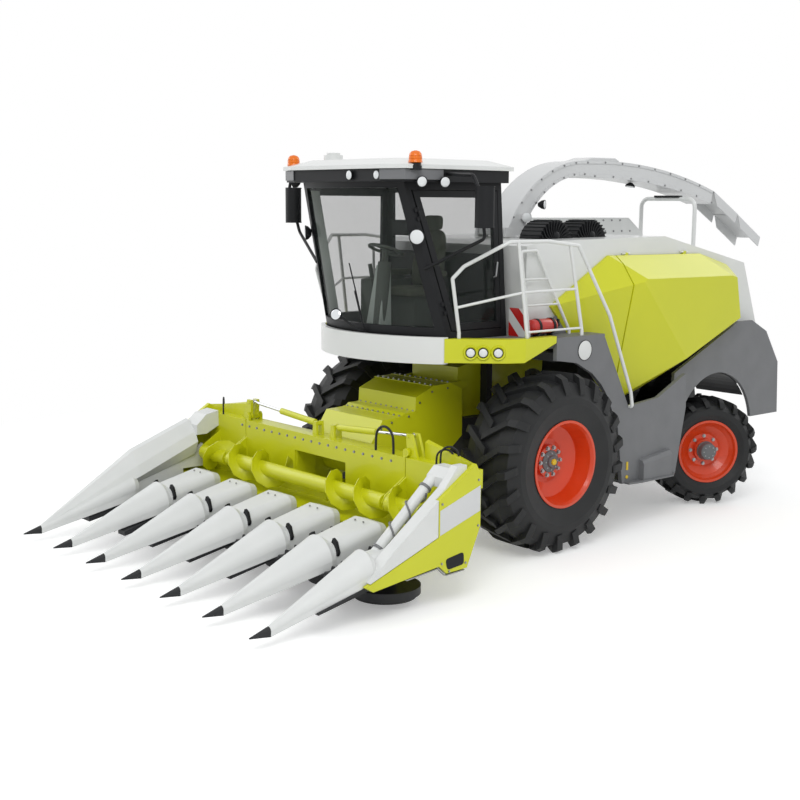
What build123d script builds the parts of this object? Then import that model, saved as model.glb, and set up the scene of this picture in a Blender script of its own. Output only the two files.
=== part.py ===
from build123d import *
import math
import os

# Forage harvester with a six-row picking header, parked with its spout folded back.
# Millimetres. X points to the machine's left, the front faces -Y, and Z is up from the floor.
# Every Y in a table below is counted from the front axle, and side, level, cross and spot
# place it in the part's own frame, whose origin is on the floor under the middle of the part.

# Running gear
FRONT_AXLE_Y = -650
WHEELBASE = 3150
REST_STEER = -29
FRONT_TYRE_R, FRONT_TYRE_W, FRONT_WHEEL_X = 935, 690, 1355
REAR_TYRE_R, REAR_TYRE_W = 650, 500
FRONT_RIM_R, REAR_RIM_R = 450, 372
LUG_H = 48
KINGPIN_X, KINGPIN_OFFSET, KINGPIN_R = 940, 170, 34
SPINDLE_R, RUNNING_GAP = 62, 0.3
MOVING_GAP = 8

# Chassis
RAIL_X, RAIL_W = 470, 100
RAIL_LOW, RAIL_HIGH = 1055.3, 1290
BEAM_TOP = 2059.7
AXLE_BEAM_H = 240
HITCH_Y, HITCH_Z, HITCH_PIN_R, HITCH_JAW = 4310, 880, 16, 90

# Cab
CAB_FLOOR, CAB_SILL, CAB_TOP, ROOF_TOP = 2090, 2270, 3775, 4000
CAB_WALL, BAND_H = 45, 120
GLASS = 6

# Bodywork
DECK_Z, DECK_T = 2190, 30
HOOD_X, HOOD_WALL = 1140, 30
PANEL_WALL = 40
GRILLE_SLATS = 10

# Spout
TURRET_Y, TURRET_Z = 690, 3140
SPOUT_HALF_W, SPOUT_WALL = 192, 12
SPOUT_PIN_Y, SPOUT_PIN_Z = 545, 3262
SPOUT_PIN_R = 22

# Header
ROW_PITCH = 700
SPLIT_X, SPLIT_GAP = 1340, 12
AUGER_Y, AUGER_Z, AUGER_TUBE_R, AUGER_FLIGHT_R = -2120, 790, 78, 190
BEAM_Y, BEAM_HIGH, BEAM_LOW, BEAM_DEPTH = -1900, 1195, 1020, 200
SNOUT_TIP_Y, SNOUT_TIP_Z = -4190, 124
FOLD_Z, FOLD_PIN_R = 1240, 18
FOLD_LUGS, FOLD_EARS, FOLD_LUG_R = (-1892, -1738), (-1856, -1774), 40
FOLD_CYL_Y, FOLD_CYL_Z, FOLD_CYL_IN = -1800, 1310, 150
FOLD_EYE_X, FOLD_EYE_Z = 1330, 1390
ROLLER_Y, ROLLER_Z = -1420, 850
LIFT_Y, LIFT_Z, LIFT_PIN_R = -250, 1640, 30
FEEDER_REAR = -340
FEEDER_HALF_W = 470
CYL_X, LIFT_EYE_R = 395, 20
LIFT_PIN, LIFT_EYE = (-190, 700), (-900, 634)


def side(x):
    """Plane at one X, drawn as (Y from the front axle, Z)."""
    return Plane(origin=(x, FRONT_AXLE_Y, 0), x_dir=(0, 1, 0), z_dir=(1, 0, 0))


def level(z):
    """Plane at one height, drawn as (X, Y from the front axle)."""
    return Plane(origin=(0, FRONT_AXLE_Y, z))


def cross(y):
    """Plane across the machine at one Y, drawn as (X, Z) and facing the front."""
    return Plane(origin=(0, FRONT_AXLE_Y + y, 0), x_dir=(1, 0, 0), z_dir=(0, -1, 0))


def spot(x, y, z):
    return Vector(x, FRONT_AXLE_Y + y, z)


def slab(plane, points, depth, mode=Mode.ADD):
    """A flat piece: an outline of straight runs, thickened along its plane's normal."""
    with BuildSketch(plane) as outline:
        with BuildLine():
            Polyline(*points, close=True)
        make_face()
    extrude(outline.sketch, amount=depth, mode=mode)


def block(low, high, mode=Mode.ADD):
    """A box between two corners, each (X, Y from the front axle, Z)."""
    size = [b - a for a, b in zip(low, high)]
    middle = [(a + b) / 2 for a, b in zip(low, high)]
    with Locations(spot(*middle)):
        Box(*size, mode=mode)


def rod(start, end, radius, mode=Mode.ADD):
    """A round bar from one point to another, each (X, Y from the front axle, Z)."""
    first, last = spot(*start), spot(*end)
    with BuildSketch(Plane(origin=first, z_dir=last - first)) as section:
        Circle(radius)
    extrude(section.sketch, amount=(last - first).length, mode=mode)


def tube(points, radius, bend):
    """A bent round bar along straight runs joined by tangent arcs."""
    stops = [spot(*p) for p in points]
    with BuildLine() as path:
        FilletPolyline(*stops, radius=bend)
    with BuildSketch(Plane(origin=path.line @ 0, z_dir=path.line % 0)) as section:
        Circle(radius)
    sweep(section.sketch, path=path.line)


def ruled(sections):
    """A loft between outlines of straight runs, each given as (plane, points)."""
    faces = []
    for plane, points in sections:
        with BuildSketch(plane) as outline:
            with BuildLine():
                Polyline(*points, close=True)
            make_face()
        faces.append(outline.sketch.faces()[0])
    loft(faces, ruled=True)


def save(piece, name):
    piece.part.label = name
    export_step(piece.part, f"parts/{name}.step")


os.makedirs("parts", exist_ok=True)


# Main frame: two rails that step up over the rear axle, cross members and the tow hitch
REAR_AXLE_Y = WHEELBASE
RAIL_SHAPE = [
    (-330, RAIL_LOW), (2080, RAIL_LOW), (2430, 1345), (4180, 1345), (4180, 1540),
    (2330, 1540), (1990, RAIL_HIGH), (-330, RAIL_HIGH),
]
CROSS_MEMBERS = [(1350, RAIL_LOW, RAIL_HIGH), (1960, RAIL_LOW, RAIL_HIGH), (3090, 1345, 1540), (4060, 1345, 1540)]
with BuildPart() as main_frame:
    for x in (-RAIL_X, RAIL_X - RAIL_W):
        slab(side(x), RAIL_SHAPE, RAIL_W)
    inner_x = RAIL_X - RAIL_W
    for y, low, high in CROSS_MEMBERS:
        block((-inner_x, y, low), (inner_x, y + 120, high))
    # Posts and cross beams that carry the hood, the guards and the cab
    for y, reach, foot in ((20, 1439.7, RAIL_HIGH - 1), (3600, 1259.7, 1539)):
        block((-reach, y, BEAM_TOP - 90), (reach, y + 80, BEAM_TOP))
        for x in (-RAIL_X, RAIL_X - RAIL_W):
            block((x, y, foot), (x + RAIL_W, y + 80, BEAM_TOP - 40))
    for x in (-RAIL_X, RAIL_X - RAIL_W):
        block((x, -1200, BEAM_TOP - 90), (x + RAIL_W, 60, BEAM_TOP - 20))
        for y in (-900, -350):
            rod((x + RAIL_W / 2, y, BEAM_TOP - 25), (x + RAIL_W / 2, y, CAB_FLOOR - RUNNING_GAP), 45)
    # Drawbar box that hangs from the rearmost cross member and ends in a two-eared jaw
    slab(
        side(-120),
        [(3760, 1346), (4180, 1346), (HITCH_Y - 60, HITCH_Z + 120), (HITCH_Y - 60, HITCH_Z - 90), (4080, HITCH_Z - 90)],
        240,
    )
    for z in (HITCH_Z - HITCH_JAW / 2 - 25, HITCH_Z + HITCH_JAW / 2):
        with BuildSketch(level(z)) as ear:
            with Locations((0, HITCH_Y)):
                Circle(70)
            with Locations((0, HITCH_Y - 40)):
                Rectangle(140, 80)
        extrude(ear.sketch, amount=25)
    with BuildSketch(level(HITCH_Z - HITCH_JAW)) as pin_hole:
        with Locations((0, HITCH_Y)):
            Circle(HITCH_PIN_R)
    extrude(pin_hole.sketch, amount=2 * HITCH_JAW, mode=Mode.SUBTRACT)

# Front axle: a driven beam with a final drive and a spindle at each end
FRONT_DISC_X = FRONT_WHEEL_X + 30
with BuildPart() as front_axle:
    block((-820, -130, FRONT_TYRE_R - AXLE_BEAM_H / 2), (820, 130, FRONT_TYRE_R + AXLE_BEAM_H / 2))
    rod((820, 0, FRONT_TYRE_R), (1180, 0, FRONT_TYRE_R), 215)
    rod((1180, 0, FRONT_TYRE_R), (1290, 0, FRONT_TYRE_R), 150)
    rod((1290, 0, FRONT_TYRE_R), (FRONT_DISC_X + 60, 0, FRONT_TYRE_R), SPINDLE_R)
    # Ears and pins that hold the lift cylinders' barrels
    for x in (CYL_X - 60, CYL_X + 30 + RUNNING_GAP):
        slab(side(x), [(-60, 816), (-60, 720), (-160, 655), (-215, 660), (-225, 720), (-129, 820)], 29.7)
    rod((CYL_X - 60, *LIFT_PIN), (CYL_X + 60, *LIFT_PIN), LIFT_EYE_R)
    mirror(about=Plane.YZ)

# Rear axle: a rocking beam under the frame, its steering cylinder and the kingpin bosses
REAR_Z = REAR_TYRE_R
STEER_ARM = 160
STEER_CYL_Y, STEER_CYL_Z = REAR_AXLE_Y + STEER_ARM * math.cos(math.radians(REST_STEER)), REAR_Z + 20
with BuildPart() as rear_axle:
    slab(
        cross(REAR_AXLE_Y + 75),
        [(-KINGPIN_X + 62, REAR_Z - 70), (-300, REAR_Z - 90), (300, REAR_Z - 90), (KINGPIN_X - 62, REAR_Z - 70),
         (KINGPIN_X - 62, REAR_Z + 70), (300, REAR_Z + 130), (120, REAR_Z + 330), (-120, REAR_Z + 330),
         (-300, REAR_Z + 130), (-KINGPIN_X + 62, REAR_Z + 70)],
        150,
    )
    for x in (-KINGPIN_X, KINGPIN_X):
        rod((x, REAR_AXLE_Y, REAR_Z - 85), (x, REAR_AXLE_Y, REAR_Z + 85), 72)
    for x in (-KINGPIN_X, KINGPIN_X):
        rod((x, REAR_AXLE_Y, REAR_Z - 90), (x, REAR_AXLE_Y, REAR_Z + 90), KINGPIN_R + RUNNING_GAP, Mode.SUBTRACT)
    # Pedestal that carries the rocking pin up to the frame
    block((-150, REAR_AXLE_Y - 60, REAR_Z + 329), (150, REAR_AXLE_Y + 60, 1344.7))
    # Steering cylinder on the back of the beam
    rod((-230, STEER_CYL_Y, STEER_CYL_Z), (230, STEER_CYL_Y, STEER_CYL_Z), 52)
    for x in (-180, 140):
        block((x, REAR_AXLE_Y + 74, STEER_CYL_Z - 40), (x + 40, STEER_CYL_Y, STEER_CYL_Z + 40))
    rod((-240, STEER_CYL_Y, STEER_CYL_Z), (240, STEER_CYL_Y, STEER_CYL_Z), 22 + RUNNING_GAP, Mode.SUBTRACT)

# The rod ties both knuckles; at the parked steering angle it stands off to the left
STEER_SHIFT = STEER_ARM * math.sin(math.radians(-REST_STEER))
with BuildPart() as steering_rod:
    ends = (STEER_SHIFT - KINGPIN_X, STEER_SHIFT + KINGPIN_X)
    rod((ends[0], STEER_CYL_Y, STEER_CYL_Z), (ends[1], STEER_CYL_Y, STEER_CYL_Z), 22)
    for x in ends:
        rod((x, STEER_CYL_Y, STEER_CYL_Z - 26), (x, STEER_CYL_Y, STEER_CYL_Z + 26), 34)
        rod((x, STEER_CYL_Y, STEER_CYL_Z + 25), (x, STEER_CYL_Y, STEER_CYL_Z + 40), 18)

# Knuckles: a kingpin through the axle's boss, two ears and the wheel spindle
REAR_WHEEL_X = KINGPIN_X + KINGPIN_OFFSET
with BuildPart() as knuckle_straight:
    rod((KINGPIN_X, REAR_AXLE_Y, REAR_Z - 125), (KINGPIN_X, REAR_AXLE_Y, REAR_Z + 125), KINGPIN_R)
    for z in (REAR_Z - 127, REAR_Z + 85 + RUNNING_GAP):
        with BuildSketch(level(z)) as ear:
            with Locations((KINGPIN_X, REAR_AXLE_Y)):
                Circle(66)
            with Locations((KINGPIN_X + 65, REAR_AXLE_Y)):
                Rectangle(130, 132)
        extrude(ear.sketch, amount=41.7)
    block((KINGPIN_X + 82, REAR_AXLE_Y - 66, REAR_Z - 127), (KINGPIN_X + 130, REAR_AXLE_Y + 66, REAR_Z + 127))
    rod((KINGPIN_X + 129, REAR_AXLE_Y, REAR_Z), (REAR_WHEEL_X + 130, REAR_AXLE_Y, REAR_Z), SPINDLE_R)
    # Steering arm, whose round end carries the rod's ball joint
    arm_top = STEER_CYL_Z - 26 - RUNNING_GAP
    slab(
        level(arm_top - 40),
        [(KINGPIN_X + a, REAR_AXLE_Y + b) for a, b in ((84, 40), (126, 62), (26, 170), (-20, 140))],
        40,
    )
    rod((KINGPIN_X, REAR_AXLE_Y + STEER_ARM, arm_top - 40), (KINGPIN_X, REAR_AXLE_Y + STEER_ARM, arm_top), 30)
    rod((KINGPIN_X, REAR_AXLE_Y + STEER_ARM, arm_top - 62), (KINGPIN_X, REAR_AXLE_Y + STEER_ARM, arm_top - 39), 18)


def steered(piece, hand):
    """A straight left-hand part put on one side and turned to the parked steering angle."""
    placed = piece if hand > 0 else piece.mirror(Plane.YZ)
    pin = spot(hand * KINGPIN_X, REAR_AXLE_Y, 0)
    return placed.rotate(Axis(pin, (0, 0, 1)), REST_STEER)


with BuildPart() as knuckle_left:
    add(steered(knuckle_straight.part, 1))
with BuildPart() as knuckle_right:
    add(steered(knuckle_straight.part, -1))


def tyre(centre_x, axle_y, radius, width, rim_r, lugs, lean):
    """A tractor tyre: a round-shouldered carcass, and two staggered rows of slanted lugs with arms down its sides."""
    carcass = radius - LUG_H
    half, tread = width / 2, 0.84 * width / 2
    bead = half - 45
    side_r = rim_r + 0.5 * (carcass - rim_r)
    with BuildPart() as made:
        with BuildSketch(cross(axle_y)) as section:
            with BuildLine():
                Polyline(
                    (centre_x - bead, radius + rim_r), (centre_x - half, radius + side_r - 40),
                    (centre_x - half + 3, radius + side_r + 25), (centre_x - tread, radius + carcass - 50),
                    (centre_x - tread / 2, radius + carcass), (centre_x + tread / 2, radius + carcass),
                    (centre_x + tread, radius + carcass - 50), (centre_x + half - 3, radius + side_r + 25),
                    (centre_x + half, radius + side_r - 40), (centre_x + bead, radius + rim_r),
                    close=True,
                )
            make_face()
        revolve(section.sketch, axis=Axis(spot(0, axle_y, radius), (1, 0, 0)))
        pitch = 360 / lugs
        bar = 0.26 * pitch * math.pi / 180 * radius
        for hand in (-1, 1):
            for k in range(lugs):
                # One lug slants from past the middle of the tread to its knee, then goes straight down the shoulder
                inner, knee, outer = -0.06 * width * hand, 0.68 * half * hand, (half - 4) * hand
                shift = lean * half
                points = [
                    (centre_x + inner, -bar / 2), (centre_x + inner, bar / 2),
                    (centre_x + knee, shift + 0.5 * bar), (centre_x + outer, shift + 0.65 * bar),
                    (centre_x + outer, shift - 0.45 * bar), (centre_x + knee, shift - 0.5 * bar),
                ]
                turn = pitch * (k + (0.5 if hand > 0 else 0))
                hub = spot(0, axle_y, radius)
                out = (0, math.sin(math.radians(turn)), -math.cos(math.radians(turn)))
                foot = side_r + 35
                slab(Plane(origin=hub, x_dir=(1, 0, 0), z_dir=out).offset(foot), points, radius + 25 - foot)
        # Trim the lugs to the round outside of the tread
        with BuildSketch(cross(axle_y)) as outside:
            with BuildLine():
                Polyline(
                    (centre_x - half - 2, radius), (centre_x - half - 2, radius + side_r + 60),
                    (centre_x - half + 26, 2 * radius - 40), (centre_x - 0.7 * half, 2 * radius),
                    (centre_x + 0.7 * half, 2 * radius), (centre_x + half - 26, 2 * radius - 40),
                    (centre_x + half + 2, radius + side_r + 60), (centre_x + half + 2, radius),
                    close=True,
                )
            make_face()
        revolve(outside.sketch, axis=Axis(spot(0, axle_y, radius), (1, 0, 0)), mode=Mode.INTERSECT)
    return made.part


def rim(centre_x, axle_y, radius, width, rim_r, disc_x, hub_r):
    """A drop-centre rim with a dished disc, a hub boss and a bore that runs on the spindle."""
    half = width / 2 - 45
    with BuildPart() as made:
        with BuildSketch(cross(axle_y)) as section:
            with BuildLine():
                Polyline(
                    (centre_x + half + 12, radius + rim_r + 6), (centre_x + half + 12, radius + rim_r - 22),
                    (centre_x + half - 20, radius + rim_r - 40), (disc_x + 75, radius + rim_r - 78),
                    (disc_x + 8, radius + hub_r + 60), (disc_x + 8, radius + hub_r), (disc_x + 60, radius + hub_r),
                    (disc_x + 60, radius + SPINDLE_R + RUNNING_GAP), (disc_x - 14, radius + SPINDLE_R + RUNNING_GAP),
                    (disc_x - 14, radius + hub_r + 66), (disc_x + 52, radius + rim_r - 92),
                    (centre_x - half + 20, radius + rim_r - 56), (centre_x - half - 12, radius + rim_r - 22),
                    (centre_x - half - 12, radius + rim_r + 6), (centre_x - half - 4, radius + rim_r + 6),
                    (centre_x - half - 0.4, radius + rim_r - 0.3), (centre_x + half + 0.4, radius + rim_r - 0.3),
                    (centre_x + half + 4, radius + rim_r + 6),
                    close=True,
                )
            make_face()
        revolve(section.sketch, axis=Axis(spot(0, axle_y, radius), (1, 0, 0)))
    return made.part


FRONT_LUGS, REAR_LUGS, LUG_LEAN = 21, 19, 0.55
with BuildPart() as front_tyre_left:
    add(tyre(FRONT_WHEEL_X, 0, FRONT_TYRE_R, FRONT_TYRE_W, FRONT_RIM_R, FRONT_LUGS, LUG_LEAN))
with BuildPart() as front_tyre_right:
    mirror(front_tyre_left.part, about=Plane.YZ)
with BuildPart() as front_rim_left:
    add(rim(FRONT_WHEEL_X, 0, FRONT_TYRE_R, FRONT_TYRE_W, FRONT_RIM_R, FRONT_DISC_X, 170))
with BuildPart() as front_rim_right:
    mirror(front_rim_left.part, about=Plane.YZ)
rear_tyre = tyre(REAR_WHEEL_X, REAR_AXLE_Y, REAR_TYRE_R, REAR_TYRE_W, REAR_RIM_R, REAR_LUGS, LUG_LEAN)
REAR_DISC_X = REAR_WHEEL_X + 70
rear_rim = rim(REAR_WHEEL_X, REAR_AXLE_Y, REAR_TYRE_R, REAR_TYRE_W, REAR_RIM_R, REAR_DISC_X, 135)
with BuildPart() as rear_tyre_left:
    add(steered(rear_tyre, 1))
with BuildPart() as rear_tyre_right:
    add(steered(rear_tyre, -1))
with BuildPart() as rear_rim_left:
    add(steered(rear_rim, 1))
with BuildPart() as rear_rim_right:
    add(steered(rear_rim, -1))

# Engine and its radiator, one plain block on the rails behind the crop chute
with BuildPart() as engine:
    block((-inner_x + RUNNING_GAP, 1600, RAIL_HIGH + RUNNING_GAP), (inner_x - RUNNING_GAP, 2900, 2450))

# Crop channel: chopper housing over the front axle and the chute up to the spout's turret
CHUTE_SHAPE = [(-318, 1085), (560, 1085), (980, 1240), (1010, 2060), (300, 2060), (300, 1960), (-318, 1830)]
with BuildPart() as crop_channel:
    slab(side(-inner_x + RUNNING_GAP), CHUTE_SHAPE, 2 * (inner_x - RUNNING_GAP))
    for x in (-inner_x, inner_x - 30):
        rod((x, LIFT_Y, LIFT_Z), (x + 30, LIFT_Y, LIFT_Z), LIFT_PIN_R + RUNNING_GAP, Mode.SUBTRACT)
    block((-215, TURRET_Y - 215, 2059), (215, TURRET_Y + 215, TURRET_Z - 60))
    rod((0, TURRET_Y, TURRET_Z - 60), (0, TURRET_Y, TURRET_Z), 290)
    block((-185, TURRET_Y - 185, 2100), (185, TURRET_Y + 185, TURRET_Z + 10), Mode.SUBTRACT)

# Hood: a white shell over the engine, open below and cut away at each side for its flap
HOOD_SHAPE = [(-100, 2060), (-100, 3140), (60, 3185), (2150, 3215), (3700, 2880), (4010, 2120), (4010, 2060)]
FLAP_HINGE_X, FLAP_HINGE_Z, FLAP_HINGE_R, FLAP_HINGES = 1166, 3036, 11, (1420, 2450)
PANEL_BASE = [(250, 2510), (1150, 3020), (2760, 3010), (3290, 2870), (3430, 2210), (1690, 1500), (1240, 1400)]
PANEL_FACE = [(1450, 2770), (2850, 2800), (3180, 2320), (2190, 1850)]
with BuildPart() as hood:
    slab(side(-HOOD_X), HOOD_SHAPE, 2 * HOOD_X)
    inner = [
        (-100 + HOOD_WALL, 2000), (-100 + HOOD_WALL, 3115), (65, 3155), (2147, 3184),
        (3678, 2853), (3978, 2115), (3978, 2000),
    ]
    slab(side(-HOOD_X + HOOD_WALL), inner, 2 * (HOOD_X - HOOD_WALL), Mode.SUBTRACT)
    # Openings that the side flaps cover
    opening = [(330, 2510), (1170, 2985), (2750, 2975), (3250, 2845), (3390, 2245), (3000, 2040), (900, 1900)]
    slab(side(-HOOD_X - 5), opening, 2 * HOOD_X + 10, Mode.SUBTRACT)
    # Hole round the spout's turret
    rod((0, TURRET_Y, 3000), (0, TURRET_Y, 3300), 310, Mode.SUBTRACT)
    # Knuckles for the side flaps' hinges
    for x in (-FLAP_HINGE_X, FLAP_HINGE_X):
        inner_edge = math.copysign(HOOD_X - 10, x)
        for y in FLAP_HINGES:
            for a, b in ((y - 32, y - RUNNING_GAP), (y + 50 + RUNNING_GAP, y + 82)):
                rod((x, a, FLAP_HINGE_Z), (x, b, FLAP_HINGE_Z), FLAP_HINGE_R)
                block((min(x, inner_edge), a, FLAP_HINGE_Z), (max(x, inner_edge), b, FLAP_HINGE_Z + FLAP_HINGE_R))
    # Radiator grille of slats in the sloping rear wall
    slab(side(-800), [(3700, 2780), (3780, 2780), (3985, 2290), (3890, 2290)], 1600, Mode.SUBTRACT)
    for k in range(GRILLE_SLATS):
        z = 2316 + k * (2780 - 2290) / GRILLE_SLATS
        y = 3700 + (2880 - z) * 310 / 760
        block((-801, y - 26, z - 7), (801, y - 4, z + 7))
    # Lower rear air intake
    block((-900, 3900, 2180), (900, 4100, 2230), Mode.SUBTRACT)


def over_hood(y):
    """Height just above the hood's top."""
    for (y0, z0), (y1, z1) in zip(HOOD_SHAPE[1:], HOOD_SHAPE[2:]):
        if y0 <= y <= y1:
            return z0 + (z1 - z0) * (y - y0) / (y1 - y0) + RUNNING_GAP


# Air box and the two round air-cleaner heads on top of the hood
with BuildPart() as air_box:
    slab(
        side(-950),
        [(1750, over_hood(1750)), (1750, 3400), (3250, 3400), (3540, 3200), (3560, over_hood(3560)), (2150, over_hood(2150))],
        650,
    )
with BuildPart() as air_heads:
    for y in (780, 1360):
        rod((420, y, 3130), (720, y, 3130), 260)
    slab(side(400), [(400, 2700), (400, over_hood(400)), (1700, over_hood(1700)), (1700, 2700)], 340, Mode.SUBTRACT)


def flap_shape(base, face, inner_x, outer_x):
    """The faceted side flap: a flat rim with four sloping facets up to its face."""
    with BuildPart() as made:
        slab(side(inner_x), base, outer_x - inner_x)
        corners = [spot(inner_x + 30, *p) for p in base]
        top = [spot(outer_x, *p) for p in face]
        facets = (
            (corners[1], corners[2], top[0]), (corners[3], corners[4], top[2]),
            (corners[4], corners[5], top[3]), (corners[5], corners[6], top[3]), (corners[0], corners[1], top[0]),
            (corners[0], corners[6], top[3]), (corners[2], corners[3], top[1]),
        )
        middle = spot(inner_x, 2200, 2300)
        for a, b, c in facets:
            normal = (b - a).cross(c - a).normalized()
            if normal.dot(middle - a) > 0:
                normal = normal * -1
            split(bisect_by=Plane(origin=a, z_dir=normal), keep=Keep.BOTTOM)
    return made.part


PANEL_X, PANEL_SEAM_Y = HOOD_X + MOVING_GAP, 1262
with BuildPart() as side_shell:
    add(flap_shape(PANEL_BASE, PANEL_FACE, PANEL_X, 1480))
    inside = side_shell.faces().sort_by(Axis.X)[0]
    offset(amount=-PANEL_WALL, openings=inside)
with BuildPart() as side_flap_left:
    add(side_shell.part)
    split(bisect_by=cross(PANEL_SEAM_Y + MOVING_GAP / 2), keep=Keep.BOTTOM)
    for y in FLAP_HINGES:
        rod((FLAP_HINGE_X, y, FLAP_HINGE_Z), (FLAP_HINGE_X, y + 50, FLAP_HINGE_Z), FLAP_HINGE_R)
        block((FLAP_HINGE_X - 9, y, 2990), (FLAP_HINGE_X + 9, y + 50, FLAP_HINGE_Z))
with BuildPart() as side_flap_right:
    mirror(side_flap_left.part, about=Plane.YZ)
# Fixed nose ahead of each flap, seated on the hood's side
with BuildPart() as side_noses:
    add(side_shell.part.moved(Location((RUNNING_GAP - MOVING_GAP, 0, 0))))
    split(bisect_by=cross(PANEL_SEAM_Y - MOVING_GAP / 2), keep=Keep.TOP)
    mirror(about=Plane.YZ)

# Lower side panels: front mudguard, skirt between the wheels and the arch over the rear wheel
SKIRT_FRONT = 10 + RUNNING_GAP
GUARD_SHAPE = [
    (SKIRT_FRONT, 2190), (750, 2190), (1180, 1400), (1690, 1450), (2170, 1680), (2200, 1300), (2050, 545),
    (1120, 545), (1000, 1250), (915, 1370), (830, 1540), (720, 1680), (570, 1810), (320, 1940), (SKIRT_FRONT, 1985),
]
ARCH_Y, ARCH_Z, ARCH_R = 3040, 870, 730
with BuildPart() as side_skirts:
    slab(side(1440), GUARD_SHAPE, 50)
    # Return of the mudguard over the tyre
    slab(level(DECK_Z - 40), [(1150, SKIRT_FRONT), (1445, SKIRT_FRONT), (1445, 750), (1262, 750), (1200, 500), (1150, 500)], 40)
    # Deck beside the cab
    slab(
        level(DECK_Z),
        [(1010, -905), (1318, -555), (1392, -410), (1392, SKIRT_FRONT), (1490, SKIRT_FRONT), (1490, 750), (1262, 750),
         (1200, 500), (HOOD_X + MOVING_GAP, 500), (HOOD_X + MOVING_GAP, -110), (1010, -110)],
        DECK_T,
    )
    # Floor of the boarding step
    block((1080, 1140, 545), (1445, 2040, 575))
    block((1080, 1560, 574), (1110, 2040, 1200))
    # Tread plate outside the skirt, and the scoop on it that opens to the rear
    slab(level(545), [(1489, 1150), (1564, 1150), (1590, 1330), (1590, 1900), (1500, 2030), (1489, 2030)], 16)
    ruled([
        (cross(1880), [(1489, 560), (1572, 560), (1572, 800), (1545, 850), (1489, 850)]),
        (cross(1400), [(1489, 560), (1560, 560), (1560, 740), (1535, 775), (1489, 785)]),
    ])
    slab(level(572), [(1490.1, 1430), (1548, 1430), (1560, 1881), (1490.1, 1881)], 170, Mode.SUBTRACT)
    mirror(about=Plane.YZ)
with BuildPart() as rear_guards:
    with BuildSketch(side(1300)) as arch:
        with BuildLine():
            Polyline(
                (2215, 1660), (3420, 2190), (3700, 2190), (4010, 2040), (4290, 1640), (4330, 1000), (3900, 1000),
                (3740, 1000), (2330, 1000), (2215, 1000), close=True,
            )
        make_face()
        with Locations((ARCH_Y, ARCH_Z)):
            Circle(ARCH_R, mode=Mode.SUBTRACT)
        with Locations((ARCH_Y, ARCH_Z - 400)):
            Rectangle(2 * ARCH_R, 800, mode=Mode.SUBTRACT)
        with Locations((2250, 1100)):
            Rectangle(300, 560, mode=Mode.SUBTRACT)
    extrude(arch.sketch, amount=-40)
    mirror(about=Plane.YZ)
    slab(side(-1260), [(4010, 2040), (4290, 1640), (4330, 1300), (4290, 1300), (4250, 1630), (3985, 2010)], 2520)


def roof_form(lift):
    """The crowned roof cap, or the same form raised a little."""
    edge = [(1010, -1610), (1020, -900), (980, -150), (-980, -150), (-1020, -900), (-1010, -1610), (-720, -1720), (720, -1720)]
    crown = [(800, -1420), (820, -900), (780, -330), (-780, -330), (-820, -900), (-800, -1420), (-600, -1520), (600, -1520)]
    low = CAB_TOP + BAND_H + RUNNING_GAP
    with BuildPart() as made:
        ruled([(level(low), edge), (level(CAB_TOP + 160 + lift), edge), (level(ROOF_TOP + lift), crown)])
    return made.part


# Lime lamp housing at each front corner
LAMP_PLAN = [
    (1000, -1100), (1420, -640), (1500, -460), (1500, 10), (1400, 10), (1400, -420), (1330, -560), (1000, -930),
]
with BuildPart() as lamp_housings:
    slab(level(2000), LAMP_PLAN, 2240 - 2000)
    slab(side(1380), [(-470, 2000), (40, 2190), (40, 1990)], 140, Mode.SUBTRACT)
    fillet(lamp_housings.edges().filter_by(Axis.Z).group_by(Axis.X)[-1], 30)
    mirror(about=Plane.YZ)
with BuildPart() as lamps:
    for share in (0.42, 0.62, 0.86):
        x, y = 1000 + share * 420, -1100 + share * 460
        lamp_axis = Vector(460, -420, 0).normalized()
        face = Plane(origin=spot(x, y, 2105) + lamp_axis * RUNNING_GAP, z_dir=lamp_axis)
        with BuildSketch(face) as glass:
            Circle(48)
        extrude(glass.sketch, amount=26)
    # Work lamps in the band under the roof, and tail lamps on the rear panel
    for x in (250, 560):
        rod((x, -1690 - RUNNING_GAP, 3836), (x, -1712, 3836), 46)
    slab(side(1010), [(4306.8, 1500), (4316.2, 1420), (4340, 1423), (4331, 1503)], 180)
    # Beacon on the corner of the roof
    rod((930, -1490, CAB_TOP + 130), (930, -1490, CAB_TOP + 300), 48)
    mirror(about=Plane.YZ)
    add(roof_form(RUNNING_GAP), mode=Mode.SUBTRACT)

# White front apron under the windscreen
with BuildPart() as apron:
    with BuildSketch(level(1985)) as plan:
        with BuildLine():
            ThreePointArc((-999.7, -1110), (0, -1500), (999.7, -1110))
            Line((999.7, -1110), (999.7, -1050))
            ThreePointArc((999.7, -1050), (0, -1440), (-999.7, -1050))
            Line((-999.7, -1050), (-999.7, -1110))
        make_face()
    extrude(plan.sketch, amount=2255 - 1985)
    # Brackets that carry it on the frame's beams
    for x in (-RAIL_X, RAIL_X - RAIL_W):
        block((x, -1400, 1985), (x + RAIL_W, -1200 - RUNNING_GAP, 2030))

# Cab: two sections with a bowed front, lofted and hollowed
CAB_LOW = (980, -1060, -1400, 955, -190)
CAB_HIGH = (815, -1490, -1640, 900, -250)


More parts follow.
